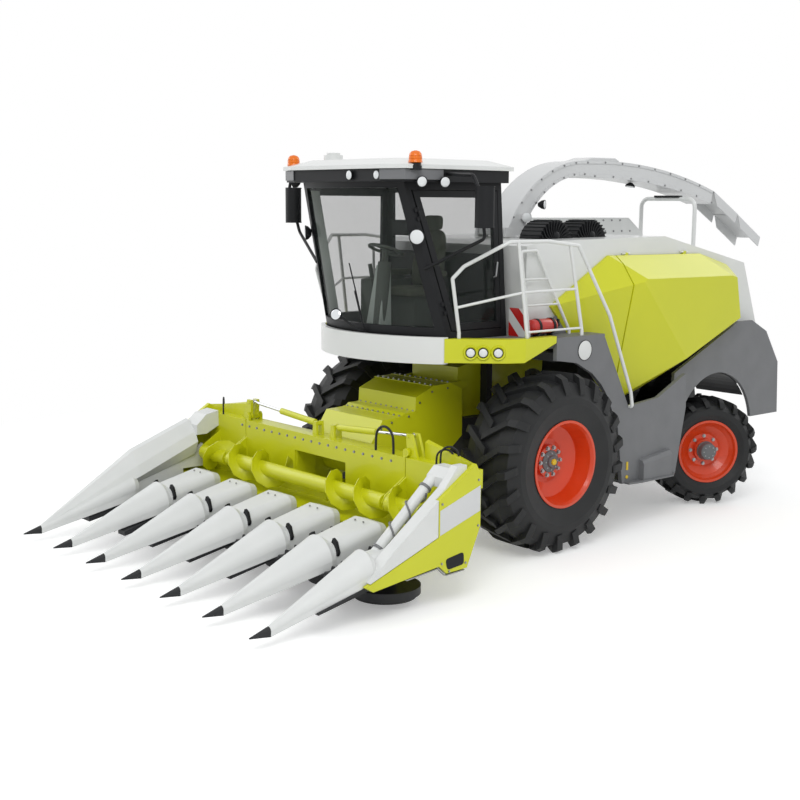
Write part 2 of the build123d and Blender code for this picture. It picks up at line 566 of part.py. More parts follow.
def cab_loft(inset, low_z, high_z):
    """The cab's outer form, or the same form drawn in by an inset."""
    faces = []
    for z in (low_z, high_z):
        share = (z - CAB_SILL) / (CAB_TOP - CAB_SILL)
        front_x, front_y, nose_y, rear_x, rear_y = (a + share * (b - a) for a, b in zip(CAB_LOW, CAB_HIGH))
        front_x, rear_x = front_x - inset, rear_x - inset
        front_y, nose_y, rear_y = front_y + 0.8 * inset, nose_y + inset, rear_y - inset
        with BuildSketch(level(z)) as plan:
            with BuildLine():
                ThreePointArc((-front_x, front_y), (0, nose_y), (front_x, front_y))
                Polyline((front_x, front_y), (rear_x, rear_y), (-rear_x, rear_y), (-front_x, front_y))
            make_face()
        faces.append(plan.sketch.faces()[0])
    with BuildPart() as made:
        loft(faces, ruled=True)
    return made.part


DOOR_OUTLINE = [(-985, 2300), (-262, 2300), (-300, 3700), (-1408, 3700)]
SIDE_WINDOW = [(-925, 2360), (-322, 2360), (-355, 3640), (-1318, 3640)]
SCREEN = [(-890, 2345), (890, 2345), (735, 3715), (-735, 3715)]
REAR_WINDOW = [(-800, 2700), (800, 2700), (770, 3680), (-770, 3680)]

ROOF_BAND = [(-960, -1600), (-700, -1690), (700, -1690), (960, -1600), (990, -1400), (960, -200), (-960, -200), (-990, -1400)]


def grown(points, by):
    """An outline of four corners moved out from its middle by the same distance each way."""
    mid_a = sum(p[0] for p in points) / len(points)
    mid_b = sum(p[1] for p in points) / len(points)
    return [(a + by * math.copysign(1, a - mid_a), b + by * math.copysign(1, b - mid_b)) for a, b in points]


# The door turns about a line just outside the skin, along the slanting front pillar
DOOR_LEAF = [(-972, 2308), (-270, 2308), (-308, 3692), (-1388, 3692)]
DOOR_PANE = [(-912, 2375), (-330, 2375), (-362, 3625), (-1298, 3625)]
DOOR_HINGE_FOOT, DOOR_HINGE_HEAD, DOOR_HINGE_R = (985.3, -976.7, 2309.3), (840.4, -1397.7, 3693.3), 10
DOOR_HINGE = Plane(
    origin=spot(*DOOR_HINGE_FOOT), x_dir=(0.9934, 0.0250, 0.1116), z_dir=spot(*DOOR_HINGE_HEAD) - spot(*DOOR_HINGE_FOOT),
)
DOOR_HINGES = (180, 1150)


def knuckle_on_door(start, length, back):
    """A hinge knuckle and its leaf, which reaches back over the door or forward over the pillar."""
    with BuildSketch(DOOR_HINGE.offset(start)) as section:
        Circle(DOOR_HINGE_R)
        with Locations((-8, back * 22)):
            Rectangle(16, 40)
    extrude(section.sketch, amount=length)


with BuildPart() as screen_panes:
    slab(cross(-930), grown(SCREEN, -RUNNING_GAP), 900)
    slab(side(-1100), grown(SIDE_WINDOW, -RUNNING_GAP), 1050)
    slab(cross(-100), grown(REAR_WINDOW, -RUNNING_GAP), 250)
with BuildPart() as door_frame_shape:
    slab(side(600), DOOR_LEAF, 600)
    slab(side(600), DOOR_PANE, 600, Mode.SUBTRACT)
with BuildPart() as door_pane_shape:
    slab(side(600), grown(DOOR_PANE, -RUNNING_GAP), 600)

with BuildPart() as cab_frame:
    add(cab_loft(0, CAB_FLOOR, CAB_TOP))
    add(cab_loft(CAB_WALL, CAB_FLOOR + 60, CAB_TOP - CAB_WALL), mode=Mode.SUBTRACT)
    slab(cross(-930), SCREEN, 900, Mode.SUBTRACT)
    slab(side(0), DOOR_OUTLINE, 1100, Mode.SUBTRACT)
    slab(side(-1100), SIDE_WINDOW, 1100, Mode.SUBTRACT)
    slab(cross(-100), REAR_WINDOW, 250, Mode.SUBTRACT)
    # Dark lamp band under the roof
    slab(level(CAB_TOP - 1), ROOF_BAND, BAND_H + 1)
    for at in DOOR_HINGES:
        knuckle_on_door(at, 39.7, -1)
        knuckle_on_door(at + 90.3, 40, -1)
with BuildPart() as cab_glass:
    add(cab_loft(18, CAB_SILL, CAB_TOP - 10))
    add(cab_loft(18 + GLASS, CAB_SILL - 10, CAB_TOP), mode=Mode.SUBTRACT)
    add(screen_panes.part, mode=Mode.INTERSECT)
with BuildPart() as cab_door:
    add(cab_loft(0, CAB_SILL, CAB_TOP - 10))
    add(cab_loft(CAB_WALL - 8, CAB_SILL - 10, CAB_TOP), mode=Mode.SUBTRACT)
    add(door_frame_shape.part, mode=Mode.INTERSECT)
    for at in DOOR_HINGES:
        knuckle_on_door(at + 40, 50, 1)
with BuildPart() as door_glass:
    add(cab_loft(15, CAB_SILL, CAB_TOP - 10))
    add(cab_loft(15 + GLASS, CAB_SILL - 10, CAB_TOP), mode=Mode.SUBTRACT)
    add(door_pane_shape.part, mode=Mode.INTERSECT)

# Roof: a crowned white cap over a dark lamp band
with BuildPart() as roof:
    add(roof_form(0))
    rod((-500, -1330, ROOF_TOP - 5), (-500, -1330, ROOF_TOP + 55), 100)
    rod((-500, -1330, ROOF_TOP + 54), (-500, -1330, ROOF_TOP + 78), 72)

# Seat cushions, each a crowned pad of few faces
CAB_INSIDE = CAB_FLOOR + 60 + RUNNING_GAP
SEAT_Y, SEAT_Z, SEAT_W = -640, 2590, 250
with BuildPart() as cab_seat:
    ruled([
        (level(SEAT_Z), [(-SEAT_W + 20, -870), (SEAT_W - 20, -870), (SEAT_W, -420), (-SEAT_W, -420)]),
        (level(SEAT_Z + 70), [(-SEAT_W, -895), (SEAT_W, -895), (SEAT_W + 10, -410), (-SEAT_W - 10, -410)]),
        (level(SEAT_Z + 105), [(-SEAT_W + 45, -850), (SEAT_W - 45, -850), (SEAT_W - 45, -440), (-SEAT_W + 45, -440)]),
    ])
    slab(side(-235), [(-490, SEAT_Z + 106), (-405, SEAT_Z + 60), (-345, 3240), (-375, 3290), (-425, 3270), (-450, 3000)], 470)
    slab(side(-130), [(-420, 3265), (-370, 3280), (-350, 3400), (-372, 3430), (-412, 3420), (-425, 3380)], 260)

# Seat pedestal, armrest console and steering column on the cab floor
with BuildPart() as cab_controls:
    low = CAB_INSIDE
    block((-190, -790, low), (190, -450, SEAT_Z - RUNNING_GAP))
    block((-470, -980, low), (-290, -420, 2760))
    slab(side(-440), [(-1010, 2755), (-800, 2800), (-520, 2800), (-470, 2755)], 120)
    rod((-380, -900, 2780), (-380, -930, 2920), 22)
    # Steering column and wheel
    rod((0, -1120, low), (0, -1120, low + 60), 80)
    rod((0, -1120, low + 40), (0, -1040, 2960), 70)
    rod((0, -1040, 2950), (0, -1030, 3080), 35)
    with Locations(Plane(origin=spot(0, -1030, 3085), z_dir=(0, 0.35, 1)).location):
        Torus(175, 16)
        Box(340, 30, 16)

# Railings of white tube round the deck, with the long handrail down to the step
RAIL_R = 19
HOOP_X, HOOP_Y, HOOP_Z = 420, 3645, 3640
DECK_TOP = DECK_Z + DECK_T + RUNNING_GAP
with BuildPart() as railings:
    tube(
        [(1060, -960, 2240 + RUNNING_GAP), (1060, -960, 2300), (1105, -1100, 2840), (1170, -1010, 2960), (1430, -640, 3200),
         (1455, -120, 3200), (1470, 320, 3150), (1515, 790, 2410), (1515, 1180, 1560), (1530, 1195, 1400),
         (1490 + RUNNING_GAP, 1195, 1400)],
        RAIL_R, 24,
    )
    tube([(1455, 420, DECK_TOP), (1455, 420, 2270), (1462, 200, 3165)], RAIL_R, 24)
    rod((1455, -395, 2240 + RUNNING_GAP), (1440, -530, 3195), RAIL_R)
    tube([(1081, -1025, 2550), (1448, -455, 2700), (1460, 312, 2708)], 14, 60)
    rod((1455, -395, 2300), (1455, 413, 2300), 12)
    # Ladder that leans on the hood's side, with its two rungs
    tube(
        [(1245, -150, DECK_TOP), (1245, -150, 2255), (1180, -225, 3090), (1180, 5, 3095), (1245, 460, 2255),
         (1245, 460, DECK_TOP)],
        16, 30,
    )
    for z, low_y, high_y in ((2540, -175, 305), (2805, -200, 165)):
        rod((1245 - (z - 2255) * 65 / 835, low_y, z), (1245 - (z - 2255) * 65 / 835, high_y, z), 12)
    slab(level(2000), LAMP_PLAN, 240 + RUNNING_GAP, Mode.SUBTRACT)
    mirror(about=Plane.YZ)
    # Hoop at the back of the hood that the folded spout rests on
    tube([(-HOOP_X, HOOP_Y, 2840), (-HOOP_X, HOOP_Y, HOOP_Z), (HOOP_X, HOOP_Y, HOOP_Z), (HOOP_X, HOOP_Y, 2840)], 26, 110)
    slab(side(-500), [(3600, 2700), (3600, over_hood(3600)), (3690, over_hood(3690)), (3690, 2700)], 1000, Mode.SUBTRACT)

# Mirrors on black brackets at both sides of the cab
MIRROR_X, MIRROR_LOW, MIRROR_H = 1534, 3340, 390
with BuildPart() as mirrors:
    tube(
        [(940, -1060, 3850), (1460, -1180, 3835), (1525, -1165, 3700), (1495, -1045, 3240), (880, -1262, 2930)],
        17, 60,
    )
    with BuildSketch(level(MIRROR_LOW)):
        with BuildLine():
            ThreePointArc((MIRROR_X - 105, -1085), (MIRROR_X, -1185), (MIRROR_X + 105, -1085))
            Polyline((MIRROR_X + 105, -1085), (MIRROR_X + 98, -1062), (MIRROR_X - 98, -1062), (MIRROR_X - 105, -1085))
        make_face()
    extrude(amount=MIRROR_H)
    mirror(about=Plane.YZ)
    slab(level(CAB_TOP - 1 - RUNNING_GAP), grown(ROOF_BAND, RUNNING_GAP), BAND_H + 1 + 2 * RUNNING_GAP, Mode.SUBTRACT)
    add(cab_loft(-RUNNING_GAP, CAB_SILL, CAB_TOP - 20), mode=Mode.SUBTRACT)

# Spout: a turret ring that slews, the curved duct that lifts and two deflector stages
with BuildPart() as turret:
    rod((0, TURRET_Y, TURRET_Z + RUNNING_GAP), (0, TURRET_Y, TURRET_Z + 60), 270)
    block((-185, TURRET_Y - 185, TURRET_Z - 10), (185, TURRET_Y + 185, TURRET_Z + 70), Mode.SUBTRACT)
    for x in (-SPOUT_HALF_W - 50, SPOUT_HALF_W + 10):
        slab(
            side(x),
            [(SPOUT_PIN_Y - 60, TURRET_Z + 59), (SPOUT_PIN_Y + 120, TURRET_Z + 59), (SPOUT_PIN_Y + 45, SPOUT_PIN_Z + 45),
             (SPOUT_PIN_Y - 45, SPOUT_PIN_Z + 45)],
            40,
        )
    rod((-300, SPOUT_PIN_Y, SPOUT_PIN_Z), (300, SPOUT_PIN_Y, SPOUT_PIN_Z), SPOUT_PIN_R + RUNNING_GAP, Mode.SUBTRACT)


def duct_section(plane, grow):
    """The spout's side profile: a foot, a bend over the hood and a long flat arch."""
    with BuildSketch(plane) as outline:
        with BuildLine():
            Line((560 + grow, 3215 - grow), (560 + grow, 3260))
            ThreePointArc((560 + grow, 3260), (985 + 0.7 * grow, 3785 - 0.7 * grow), (1870, 4065 - grow))
            ThreePointArc((1870, 4065 - grow), (2900, 4035 - grow), (4320, 3745 - grow))
            Line((4320, 3745 - grow), (4285, 3580 + grow))
            ThreePointArc((4285, 3580 + grow), (2900, 3835 + grow), (2000, 3875 + grow))
            ThreePointArc((2000, 3875 + grow), (1160 - 0.7 * grow, 3690 + 0.7 * grow), (815 - grow, 3260))
            Line((815 - grow, 3260), (815 - grow, 3215 - grow))
            Line((815 - grow, 3215 - grow), (560 + grow, 3215 - grow))
        make_face()
    return outline.sketch


with BuildPart() as spout:
    extrude(duct_section(side(-SPOUT_HALF_W), 0), amount=2 * SPOUT_HALF_W)
    bore_w = 2 * (SPOUT_HALF_W - SPOUT_WALL)
    extrude(duct_section(side(-SPOUT_HALF_W + SPOUT_WALL), SPOUT_WALL), amount=bore_w, mode=Mode.SUBTRACT)
    slab(side(-SPOUT_HALF_W + SPOUT_WALL), [(4250, 3600), (4250, 3745), (4400, 3735), (4400, 3590)], bore_w, Mode.SUBTRACT)
    slab(side(-SPOUT_HALF_W), [(560, 3260), (500, 3300), (500, 3225), (590, 3225)], 2 * SPOUT_HALF_W)
    rod((-SPOUT_HALF_W - 50, SPOUT_PIN_Y, SPOUT_PIN_Z), (SPOUT_HALF_W + 50, SPOUT_PIN_Y, SPOUT_PIN_Z), SPOUT_PIN_R)
NEAR_HINGE, FAR_HINGE, FLAP_PIN_R = (4332.5, 3735), (4888.1, 3440.1), 12
FLAP_W = 2 * SPOUT_HALF_W - 4
with BuildPart() as deflector_near:
    slab(side(-FLAP_W / 2), [(4339, 3746), (4880, 3455), (4840, 3335), (4424, 3560)], FLAP_W)
    slab(side(12 - FLAP_W / 2), [(4300, 3755), (4900, 3430), (4840, 3200), (4300, 3480)], FLAP_W - 24, Mode.SUBTRACT)
    rod((-FLAP_W / 2, *NEAR_HINGE), (FLAP_W / 2, *NEAR_HINGE), 14)
with BuildPart() as deflector_far:
    slab(side(-FLAP_W / 2), [(4898, 3441), (5430, 3140), (5390, 3020), (4960, 3265)], FLAP_W)
    slab(side(12 - FLAP_W / 2), [(4850, 3455), (5480, 3098), (5400, 2950), (4800, 3280)], FLAP_W - 24, Mode.SUBTRACT)
    rod((-FLAP_W / 2, *FAR_HINGE), (FLAP_W / 2, *FAR_HINGE), FLAP_PIN_R)

# Feeder: the housing that carries the header, hinged to the chopper housing
FEEDER_SHAPE = [
    (FEEDER_REAR, 1110), (-700, 820), (-1640, 560), (-1640, 1100), (-1450, 1385), (-1200, 1395), (-1150, 1430),
    (-1010, 1430), (-1000, 1580), (-760, 1680), (-520, 1690), (FEEDER_REAR, 1620),
]
FEEDER_WALL = 30
with BuildPart() as feeder_house:
    slab(side(-FEEDER_HALF_W), FEEDER_SHAPE, 2 * FEEDER_HALF_W)
    mouth_x = FEEDER_HALF_W - FEEDER_WALL
    block((-mouth_x, -1700, 640), (mouth_x, -1200, 1060), Mode.SUBTRACT)
    rod((-FEEDER_HALF_W - 1, ROLLER_Y, ROLLER_Z), (FEEDER_HALF_W + 1, ROLLER_Y, ROLLER_Z), 28 + RUNNING_GAP, Mode.SUBTRACT)
    # Hinge plates with their pins, and the lugs for the lift cylinders' rods
    for x in (-406, 376):
        slab(side(x), [(-530, 1680), (-300, 1690), (-205, 1670), (-205, 1610), (-300, 1590), (-530, 1560)], 30)
    for x in (-406, inner_x - 29):
        rod((x, LIFT_Y, LIFT_Z), (x + 406 - inner_x + 29, LIFT_Y, LIFT_Z), LIFT_PIN_R)
    for x in (-CYL_X, CYL_X):
        for a in (x - 60, x + 30 + RUNNING_GAP):
            slab(side(a), [(-1000, 760), (-800, 810), (-860, 605), (-900, 598), (-940, 605)], 29.7)
        for a in (x - 70, x + 59):
            rod((a, *LIFT_EYE), (a + 11, *LIFT_EYE), LIFT_EYE_R)

# Lift cylinders between the front axle and the feeder
def on_lift(x, share):
    """A point a share of the way along a lift cylinder, from its pin to its eye."""
    return (x, *(a + share * (b - a) for a, b in zip(LIFT_PIN, LIFT_EYE)))


with BuildPart() as lift_barrels:
    for x in (-CYL_X, CYL_X):
        rod(on_lift(x, 0.11), on_lift(x, 0.66), 45)
        rod(on_lift(x, 0), on_lift(x, 0.12), 27)
        rod((x - 30, *LIFT_PIN), (x + 30, *LIFT_PIN), 34)
        rod((x - 31, *LIFT_PIN), (x + 31, *LIFT_PIN), LIFT_EYE_R + RUNNING_GAP, Mode.SUBTRACT)
        rod(on_lift(x, 0.14), on_lift(x, 0.67), 25 + RUNNING_GAP, Mode.SUBTRACT)
with BuildPart() as lift_rods:
    for x in (-CYL_X, CYL_X):
        rod(on_lift(x, 0.16), on_lift(x, 1), 25)
        rod((x - 30, *LIFT_EYE), (x + 30, *LIFT_EYE), 34)

# Header centre: box beam, back wall with the throat opening, trough and bearing arms
THROAT_X, THROAT_LOW, THROAT_HIGH = FEEDER_HALF_W - 40, 640, 1000
TROUGH_FRONT, TROUGH_Z = -2315, 540
BEARING_R, BEARING_PLATE = 30, 16


def bearing_arm(x):
    """A plate from the back wall forward to the auger, bored for its shaft."""
    slab(
        side(x),
        [(BEAM_Y, 1010), (BEAM_Y, 600), (AUGER_Y - 40, 720), (AUGER_Y - 60, 800), (AUGER_Y - 20, 860)],
        BEARING_PLATE,
    )
    rod((x - 1, AUGER_Y, AUGER_Z), (x + BEARING_PLATE + 1, AUGER_Y, AUGER_Z), BEARING_R + RUNNING_GAP, Mode.SUBTRACT)


def trough(low_x, high_x):
    """Box beam, back wall and trough floor between two ends."""
    block((low_x, BEAM_Y, BEAM_LOW), (high_x, BEAM_Y + BEAM_DEPTH, BEAM_HIGH))
    block((low_x, BEAM_Y, TROUGH_Z), (high_x, BEAM_Y + 20, BEAM_LOW))
    block((low_x, TROUGH_FRONT, TROUGH_Z), (high_x, BEAM_Y, TROUGH_Z + 20))


with BuildPart() as header_frame:
    trough(-SPLIT_X, SPLIT_X)
    block((-THROAT_X, BEAM_Y - 10, THROAT_LOW), (THROAT_X, BEAM_Y + 40, THROAT_HIGH), Mode.SUBTRACT)
    for x in (-FEEDER_HALF_W, FEEDER_HALF_W - 60):
        block((x, BEAM_Y + 20, TROUGH_Z), (x + 60, -1640.3, BEAM_LOW))
    for x in (-SPLIT_X, SPLIT_X - BEARING_PLATE):
        bearing_arm(x)
    # Lugs at each end of the beam for the fold pins, and clevises for the fold cylinders
    for x in (-SPLIT_X, SPLIT_X):
        inner = x - math.copysign(FOLD_LUG_R, x)
        for y in FOLD_LUGS:
            rod((x, y, FOLD_Z), (x, y + 30, FOLD_Z), FOLD_LUG_R)
            block((min(x, inner), y, BEAM_HIGH - 1), (max(x, inner), y + 30, FOLD_Z))
            rod((x, y - 1, FOLD_Z), (x, y + 31, FOLD_Z), FOLD_PIN_R + RUNNING_GAP, Mode.SUBTRACT)
    for x in (-FOLD_CYL_IN, FOLD_CYL_IN):
        for y in (FOLD_CYL_Y - 50, FOLD_CYL_Y + 26):
            slab(
                cross(y + 24),
                [(x - 36, BEAM_HIGH - 1), (x + 36, BEAM_HIGH - 1), (x + 26, FOLD_CYL_Z + 26), (x - 26, FOLD_CYL_Z + 26)],
                24,
            )
        rod((x, FOLD_CYL_Y - 50, FOLD_CYL_Z), (x, FOLD_CYL_Y + 50, FOLD_CYL_Z), 14)


def flight(start_x, end_x, turns, hand):
    """Auger flighting as flat segments set along a helix."""
    steps = int(turns * 10)
    for k in range(steps):
        sections = []
        for t in (k, k + 1):
            angle = math.radians(hand * 360 * turns * t / steps)
            x = start_x + (end_x - start_x) * t / steps
            radial = Vector(0, math.cos(angle), math.sin(angle))
            cut_plane = Plane(origin=spot(x, AUGER_Y, AUGER_Z), x_dir=(1, 0, 0), z_dir=Vector(1, 0, 0).cross(radial))
            with BuildSketch(cut_plane) as cut:
                with Locations((0, (AUGER_TUBE_R + AUGER_FLIGHT_R) / 2 - 6)):
                    Rectangle(8, AUGER_FLIGHT_R - AUGER_TUBE_R + 12)
            sections.append(cut.sketch.faces()[0])
        loft(sections, ruled=True)


def auger_length(low_x, high_x, runs):
    """An auger tube with stub shafts and its flighting, each run (start, end, turns, hand)."""
    rod((low_x, AUGER_Y, AUGER_Z), (high_x, AUGER_Y, AUGER_Z), AUGER_TUBE_R)
    rod((low_x - 22, AUGER_Y, AUGER_Z), (high_x + 22, AUGER_Y, AUGER_Z), BEARING_R)
    for run in runs:
        flight(*run)


AUGER_END = SPLIT_X - BEARING_PLATE - 8
with BuildPart() as auger:
    auger_length(-AUGER_END, AUGER_END, [(-AUGER_END + 20, -330, 2.2, 1), (AUGER_END - 20, 330, 2.2, -1)])
WING_END_X = 1862
WING_AUGER = (SPLIT_X + SPLIT_GAP + BEARING_PLATE + 8, WING_END_X - 8)
with BuildPart() as auger_left:
    auger_length(*WING_AUGER, [(WING_AUGER[1] - 10, WING_AUGER[0] + 10, 0.9, -1)])
with BuildPart() as auger_right:
    mirror(auger_left.part, about=Plane.YZ)


def deck_z(y):
    """Top of the sloping row deck, which the snouts and hoods sit on."""
    return 105 + 0.257 * (y + 4000)


def round_top(y, x, half, low, shoulder, top):
    """An outline across the machine with upright sides and an arched top."""
    with BuildSketch(cross(y)) as outline:
        with BuildLine():
            Polyline((x - half, shoulder), (x - half, low), (x + half, low), (x + half, shoulder))
            ThreePointArc((x + half, shoulder), (x, top), (x - half, shoulder))
        make_face()
    return outline.sketch.faces()[0]


def flat_top(y, x, half, low, top, corner):
    """An outline across the machine with upright sides and a flat top between two round corners."""
    edge, bend = half - corner, half - 0.29 * corner
    with BuildSketch(cross(y)) as outline:
        with BuildLine():
            Polyline((x - half, top - corner), (x - half, low), (x + half, low), (x + half, top - corner))
            ThreePointArc((x + half, top - corner), (x + bend, top - 0.29 * corner), (x + edge, top))
            Line((x + edge, top), (x - edge, top))
            ThreePointArc((x - edge, top), (x - bend, top - 0.29 * corner), (x - half, top - corner))
        make_face()
    return outline.sketch.faces()[0]


TIP_END = SNOUT_TIP_Y + 190


def snout(x, left=232, right=232):
    """A divider snout: an arched cone that widens to the rear, where its end is drawn in."""
    half, middle = (left + right) / 2, x + (right - left) / 2
    low = deck_z(-2930)
    loft([
        round_top(TIP_END, x, 34, 105, 140, 186),
        round_top(-2985, middle - 0.05 * (middle - x), half - 8, deck_z(-2985), 440, 636),
        round_top(-2930, middle, half - 22, low, 440, 606),
    ], ruled=True)


def back_hood(x):
    """The rounded flat-topped hood behind a snout, over the row's chains."""
    loft([
        flat_top(-2929.7, x, 205, deck_z(-2929.7), 590, 110),
        flat_top(-2420, x, 224, deck_z(-2420), 692, 80),
        flat_top(-2335, x, 200, deck_z(-2335), 668, 70),
    ], ruled=True)


def tip(x):
    """The dark replaceable point on a snout."""
    low, high = SNOUT_TIP_Z - 5, SNOUT_TIP_Z + 5
    loft([round_top(SNOUT_TIP_Y, x, 5, low, high - 4, high), round_top(TIP_END - 0.3, x, 34, 105, 140, 186)], ruled=True)


PAN_Y, PAN_R = -2480, 325


def deck_plate(low_x, high_x, front, rear):
    """A plate that slopes up to the rear with its top on the deck's line."""
    slab(
        side(low_x),
        [(rear, deck_z(rear)), (front, deck_z(front)), (front, deck_z(front) - 14), (rear, deck_z(rear) - 14)],
        high_x - low_x,
    )


def row_deck(low_x, high_x, nose_x=None, rear=TROUGH_FRONT):
    """A deck that forms one side of each row slot, with a narrow nose under its snout."""
    deck_plate(low_x, high_x, -3100, rear)
    if nose_x is not None:
        deck_plate(nose_x - 90, nose_x + 90, -3560, -3099)


def gathering_chain(x, hand):
    """One run of a row's gathering chain on its rail, with lugs that reach over the slot."""
    start, end = -3085, -2420
    inner, outer = sorted((x + hand * 46, x + hand * 78))
    slab(
        side(inner),
        [(start, deck_z(start) - 1), (end, deck_z(end) - 1), (end, deck_z(end) + 26), (start, deck_z(start) + 26)],
        outer - inner,
    )
    rod((x + hand * 62, start, deck_z(start) - 4), (x + hand * 62, start, deck_z(start) + 34), 30)
    low_x, high_x = sorted((x + hand * 24, x + hand * 78))
    for k in range(6):
        y = start + 45 + 105 * k + (52 if hand > 0 else 0)
        z = deck_z(y)
        slab(side(low_x), [(y, z + 20), (y + 34, z + 28), (y + 24, z + 64), (y + 10, z + 62)], high_x - low_x)


def row_arm(x):
    """The arm under a row deck, seated below the trough."""
    low, seat = deck_z(-3500), TROUGH_Z - RUNNING_GAP
    slab(
        side(x - 70),
        [(-1960, seat), (TROUGH_FRONT, seat), (TROUGH_FRONT, deck_z(TROUGH_FRONT) - 14), (-3500, low - 14),
         (-3500, low - 60), (TROUGH_FRONT, TROUGH_Z - 130), (-1960, TROUGH_Z - 60)],
        140,
    )


def row_tie(low_x, high_x):
    """A square tube under the decks that ties the arms and the pans' gearboxes together."""
    block((low_x, PAN_Y - 30, 385), (high_x, PAN_Y + 30, 445))


def pan(x):
    """The shallow round pan under a row's stalk chopper, with its gearbox."""
    rod((x, PAN_Y, 60), (x, PAN_Y, 95), PAN_R - 40)
    rod((x, PAN_Y, 95), (x, PAN_Y, 170), PAN_R)
    rod((x, PAN_Y, 170), (x, PAN_Y, deck_z(PAN_Y) - 60), 105)


CENTRE_SNOUTS = [ROW_PITCH * k for k in (-2, -1, 0, 1, 2)]
CENTRE_ROWS = [ROW_PITCH * k for k in (-1.5, -0.5, 0.5, 1.5)]
SLOT = 20
with BuildPart() as snouts_centre:
    for x in CENTRE_SNOUTS:
        snout(x)
        back_hood(x)
with BuildPart() as rows_centre:
    for x in CENTRE_SNOUTS:
        reach, outermost = ROW_PITCH / 2 - SLOT, abs(x) > 1.5 * ROW_PITCH
        low_x, high_x = max(x - reach, -2 * ROW_PITCH - 225), min(x + reach, 2 * ROW_PITCH + 225)
        row_deck(low_x, high_x, x, TROUGH_FRONT - 10 if outermost else TROUGH_FRONT)
        row_arm(x - math.copysign(132, x) if outermost else x)
        tip(x)
    row_tie(-1300, 1300)
    for x in CENTRE_ROWS:
        pan(x)
        for hand in (-1, 1):
            gathering_chain(x, hand)

# Left wing: one row that folds up about the pins on the beam
WING_X, WING_ROW, WING_SNOUT = SPLIT_X + SPLIT_GAP, 2.5 * ROW_PITCH, 3 * ROW_PITCH
PANEL_OUT, PANEL_STEP = 2240, (-2274, 660)
with BuildPart() as wing_frame_left:
    trough(WING_X, 2190)
    bearing_arm(WING_X)
    bearing_arm(WING_END_X)
    # End plate
    slab(
        side(2190),
        [(-1830, 1270), (-1770, 1160), (-1770, 690), (-1930, 330), (-2180, 320), (-2270, 400), (-3020, 310),
         (-3100, 360), PANEL_STEP, (-2274, 990)],
        PANEL_OUT - 2190,
    )
    # Brace from the top of the beam to the end plate
    ruled([
        (side(1480), [(-1770, 1190), (-1730, 1190), (-1730, 1370), (-1770, 1350)]),
        (side(2200), [(-1830, 1180), (-1790, 1180), (-1790, 1250), (-1830, 1262)]),
    ])
    # Fold ears between the beam's two lugs, drawn up to hold the cylinder's eye
    for y in FOLD_EARS:
        slab(
            cross(y + 30),
            [(WING_X, BEAM_HIGH - 1), (WING_X + 110, BEAM_HIGH - 1), (FOLD_EYE_X + 50, FOLD_EYE_Z + 26),
             (FOLD_EYE_X - 24, FOLD_EYE_Z + 26), (FOLD_EYE_X - 24, FOLD_EYE_Z - 30), (SPLIT_X - 26, FOLD_Z + 30),
             (SPLIT_X - 26, FOLD_Z)],
            30,
        )
        rod((SPLIT_X, y, FOLD_Z), (SPLIT_X, y + 30, FOLD_Z), FOLD_LUG_R)
    for y0, y1 in zip(FOLD_LUGS, FOLD_EARS):
        rod((SPLIT_X, min(y0, y1) - 1, FOLD_Z), (SPLIT_X, max(y0, y1) + 31, FOLD_Z), FOLD_PIN_R)
    for y in (FOLD_EARS[0] - 9, FOLD_EARS[1] + 29):
        rod((FOLD_EYE_X, y, FOLD_EYE_Z), (FOLD_EYE_X, y + 10, FOLD_EYE_Z), 15)
WALL_X, COVER_REAR = 2100, -1900.3
with BuildPart() as covers_left:
    snout(WING_SNOUT, 225, 89.7)
    # Outer wall whose top edge climbs to the box at the beam, and its outer skin over the end plate's step
    slab(
        side(WALL_X),
        [(-2929.7, deck_z(-2929.7)), (-2929.7, 500), (-2850, 575), (-2160, 1085), (-2010, 1262), (COVER_REAR, 1262),
         (COVER_REAR, 600), (-2320, 600), (-2320, deck_z(-2320))],
        89.7,
    )
    slab(side(2150), [(-3050, 384), (-2277, 664), (-2277, 998), (-2850, 575), (-2929, 500)], 85)
    # Box at the top, the guide tube that rises to it and the collar at the tube's foot
    slab(side(1884), [(COVER_REAR, 1040), (COVER_REAR, 1230), (-2020, 1230), (-2110, 1150), (-2110, 1060)], 217)
    rod((1945, -2090, 1130), (1945, -2760, 545), 50)
    loft([
        flat_top(-2929.7, 1992, 110, deck_z(-2929.7), 575, 70),
        flat_top(-2700, 1992, 110, deck_z(-2700), 590, 60),
        flat_top(-2560, 1992, 110, deck_z(-2560), 520, 30),
    ], ruled=True)

# The right wing carries a tall divider cone over its snout
with BuildPart() as high_divider:
    snout(WING_SNOUT, 225, 89.7)
    ruled([
        (cross(TIP_END), [(2134, 110), (2134, 150), (2115, 184), (2095, 186), (2072, 170), (2066, 150), (2080, 110)]),
        (cross(-2900), [(2189.7, 480), (2189.7, 800), (2160, 862), (2100, 846), (1960, 715), (1912, 600), (1990, 520)]),
        (cross(-2180), [(2189.7, 640), (2189.7, 1060), (2150, 1138), (2070, 1128), (1945, 1015), (1890, 905), (1950, 760)]),
    ])
    slab(
        side(1990),
        [(-2900, deck_z(-2900)), (-2900, 600), (-2185, 800), (-2060, 860), (-2060, 600), (-2320, 600), (-2320, deck_z(-2320))],
        40,
    )
    slab(side(1900), [(-2185, 980), (-2060, 980), (COVER_REAR, 1060), (COVER_REAR, 1232), (-2060, 1200), (-2185, 1090)], 240)
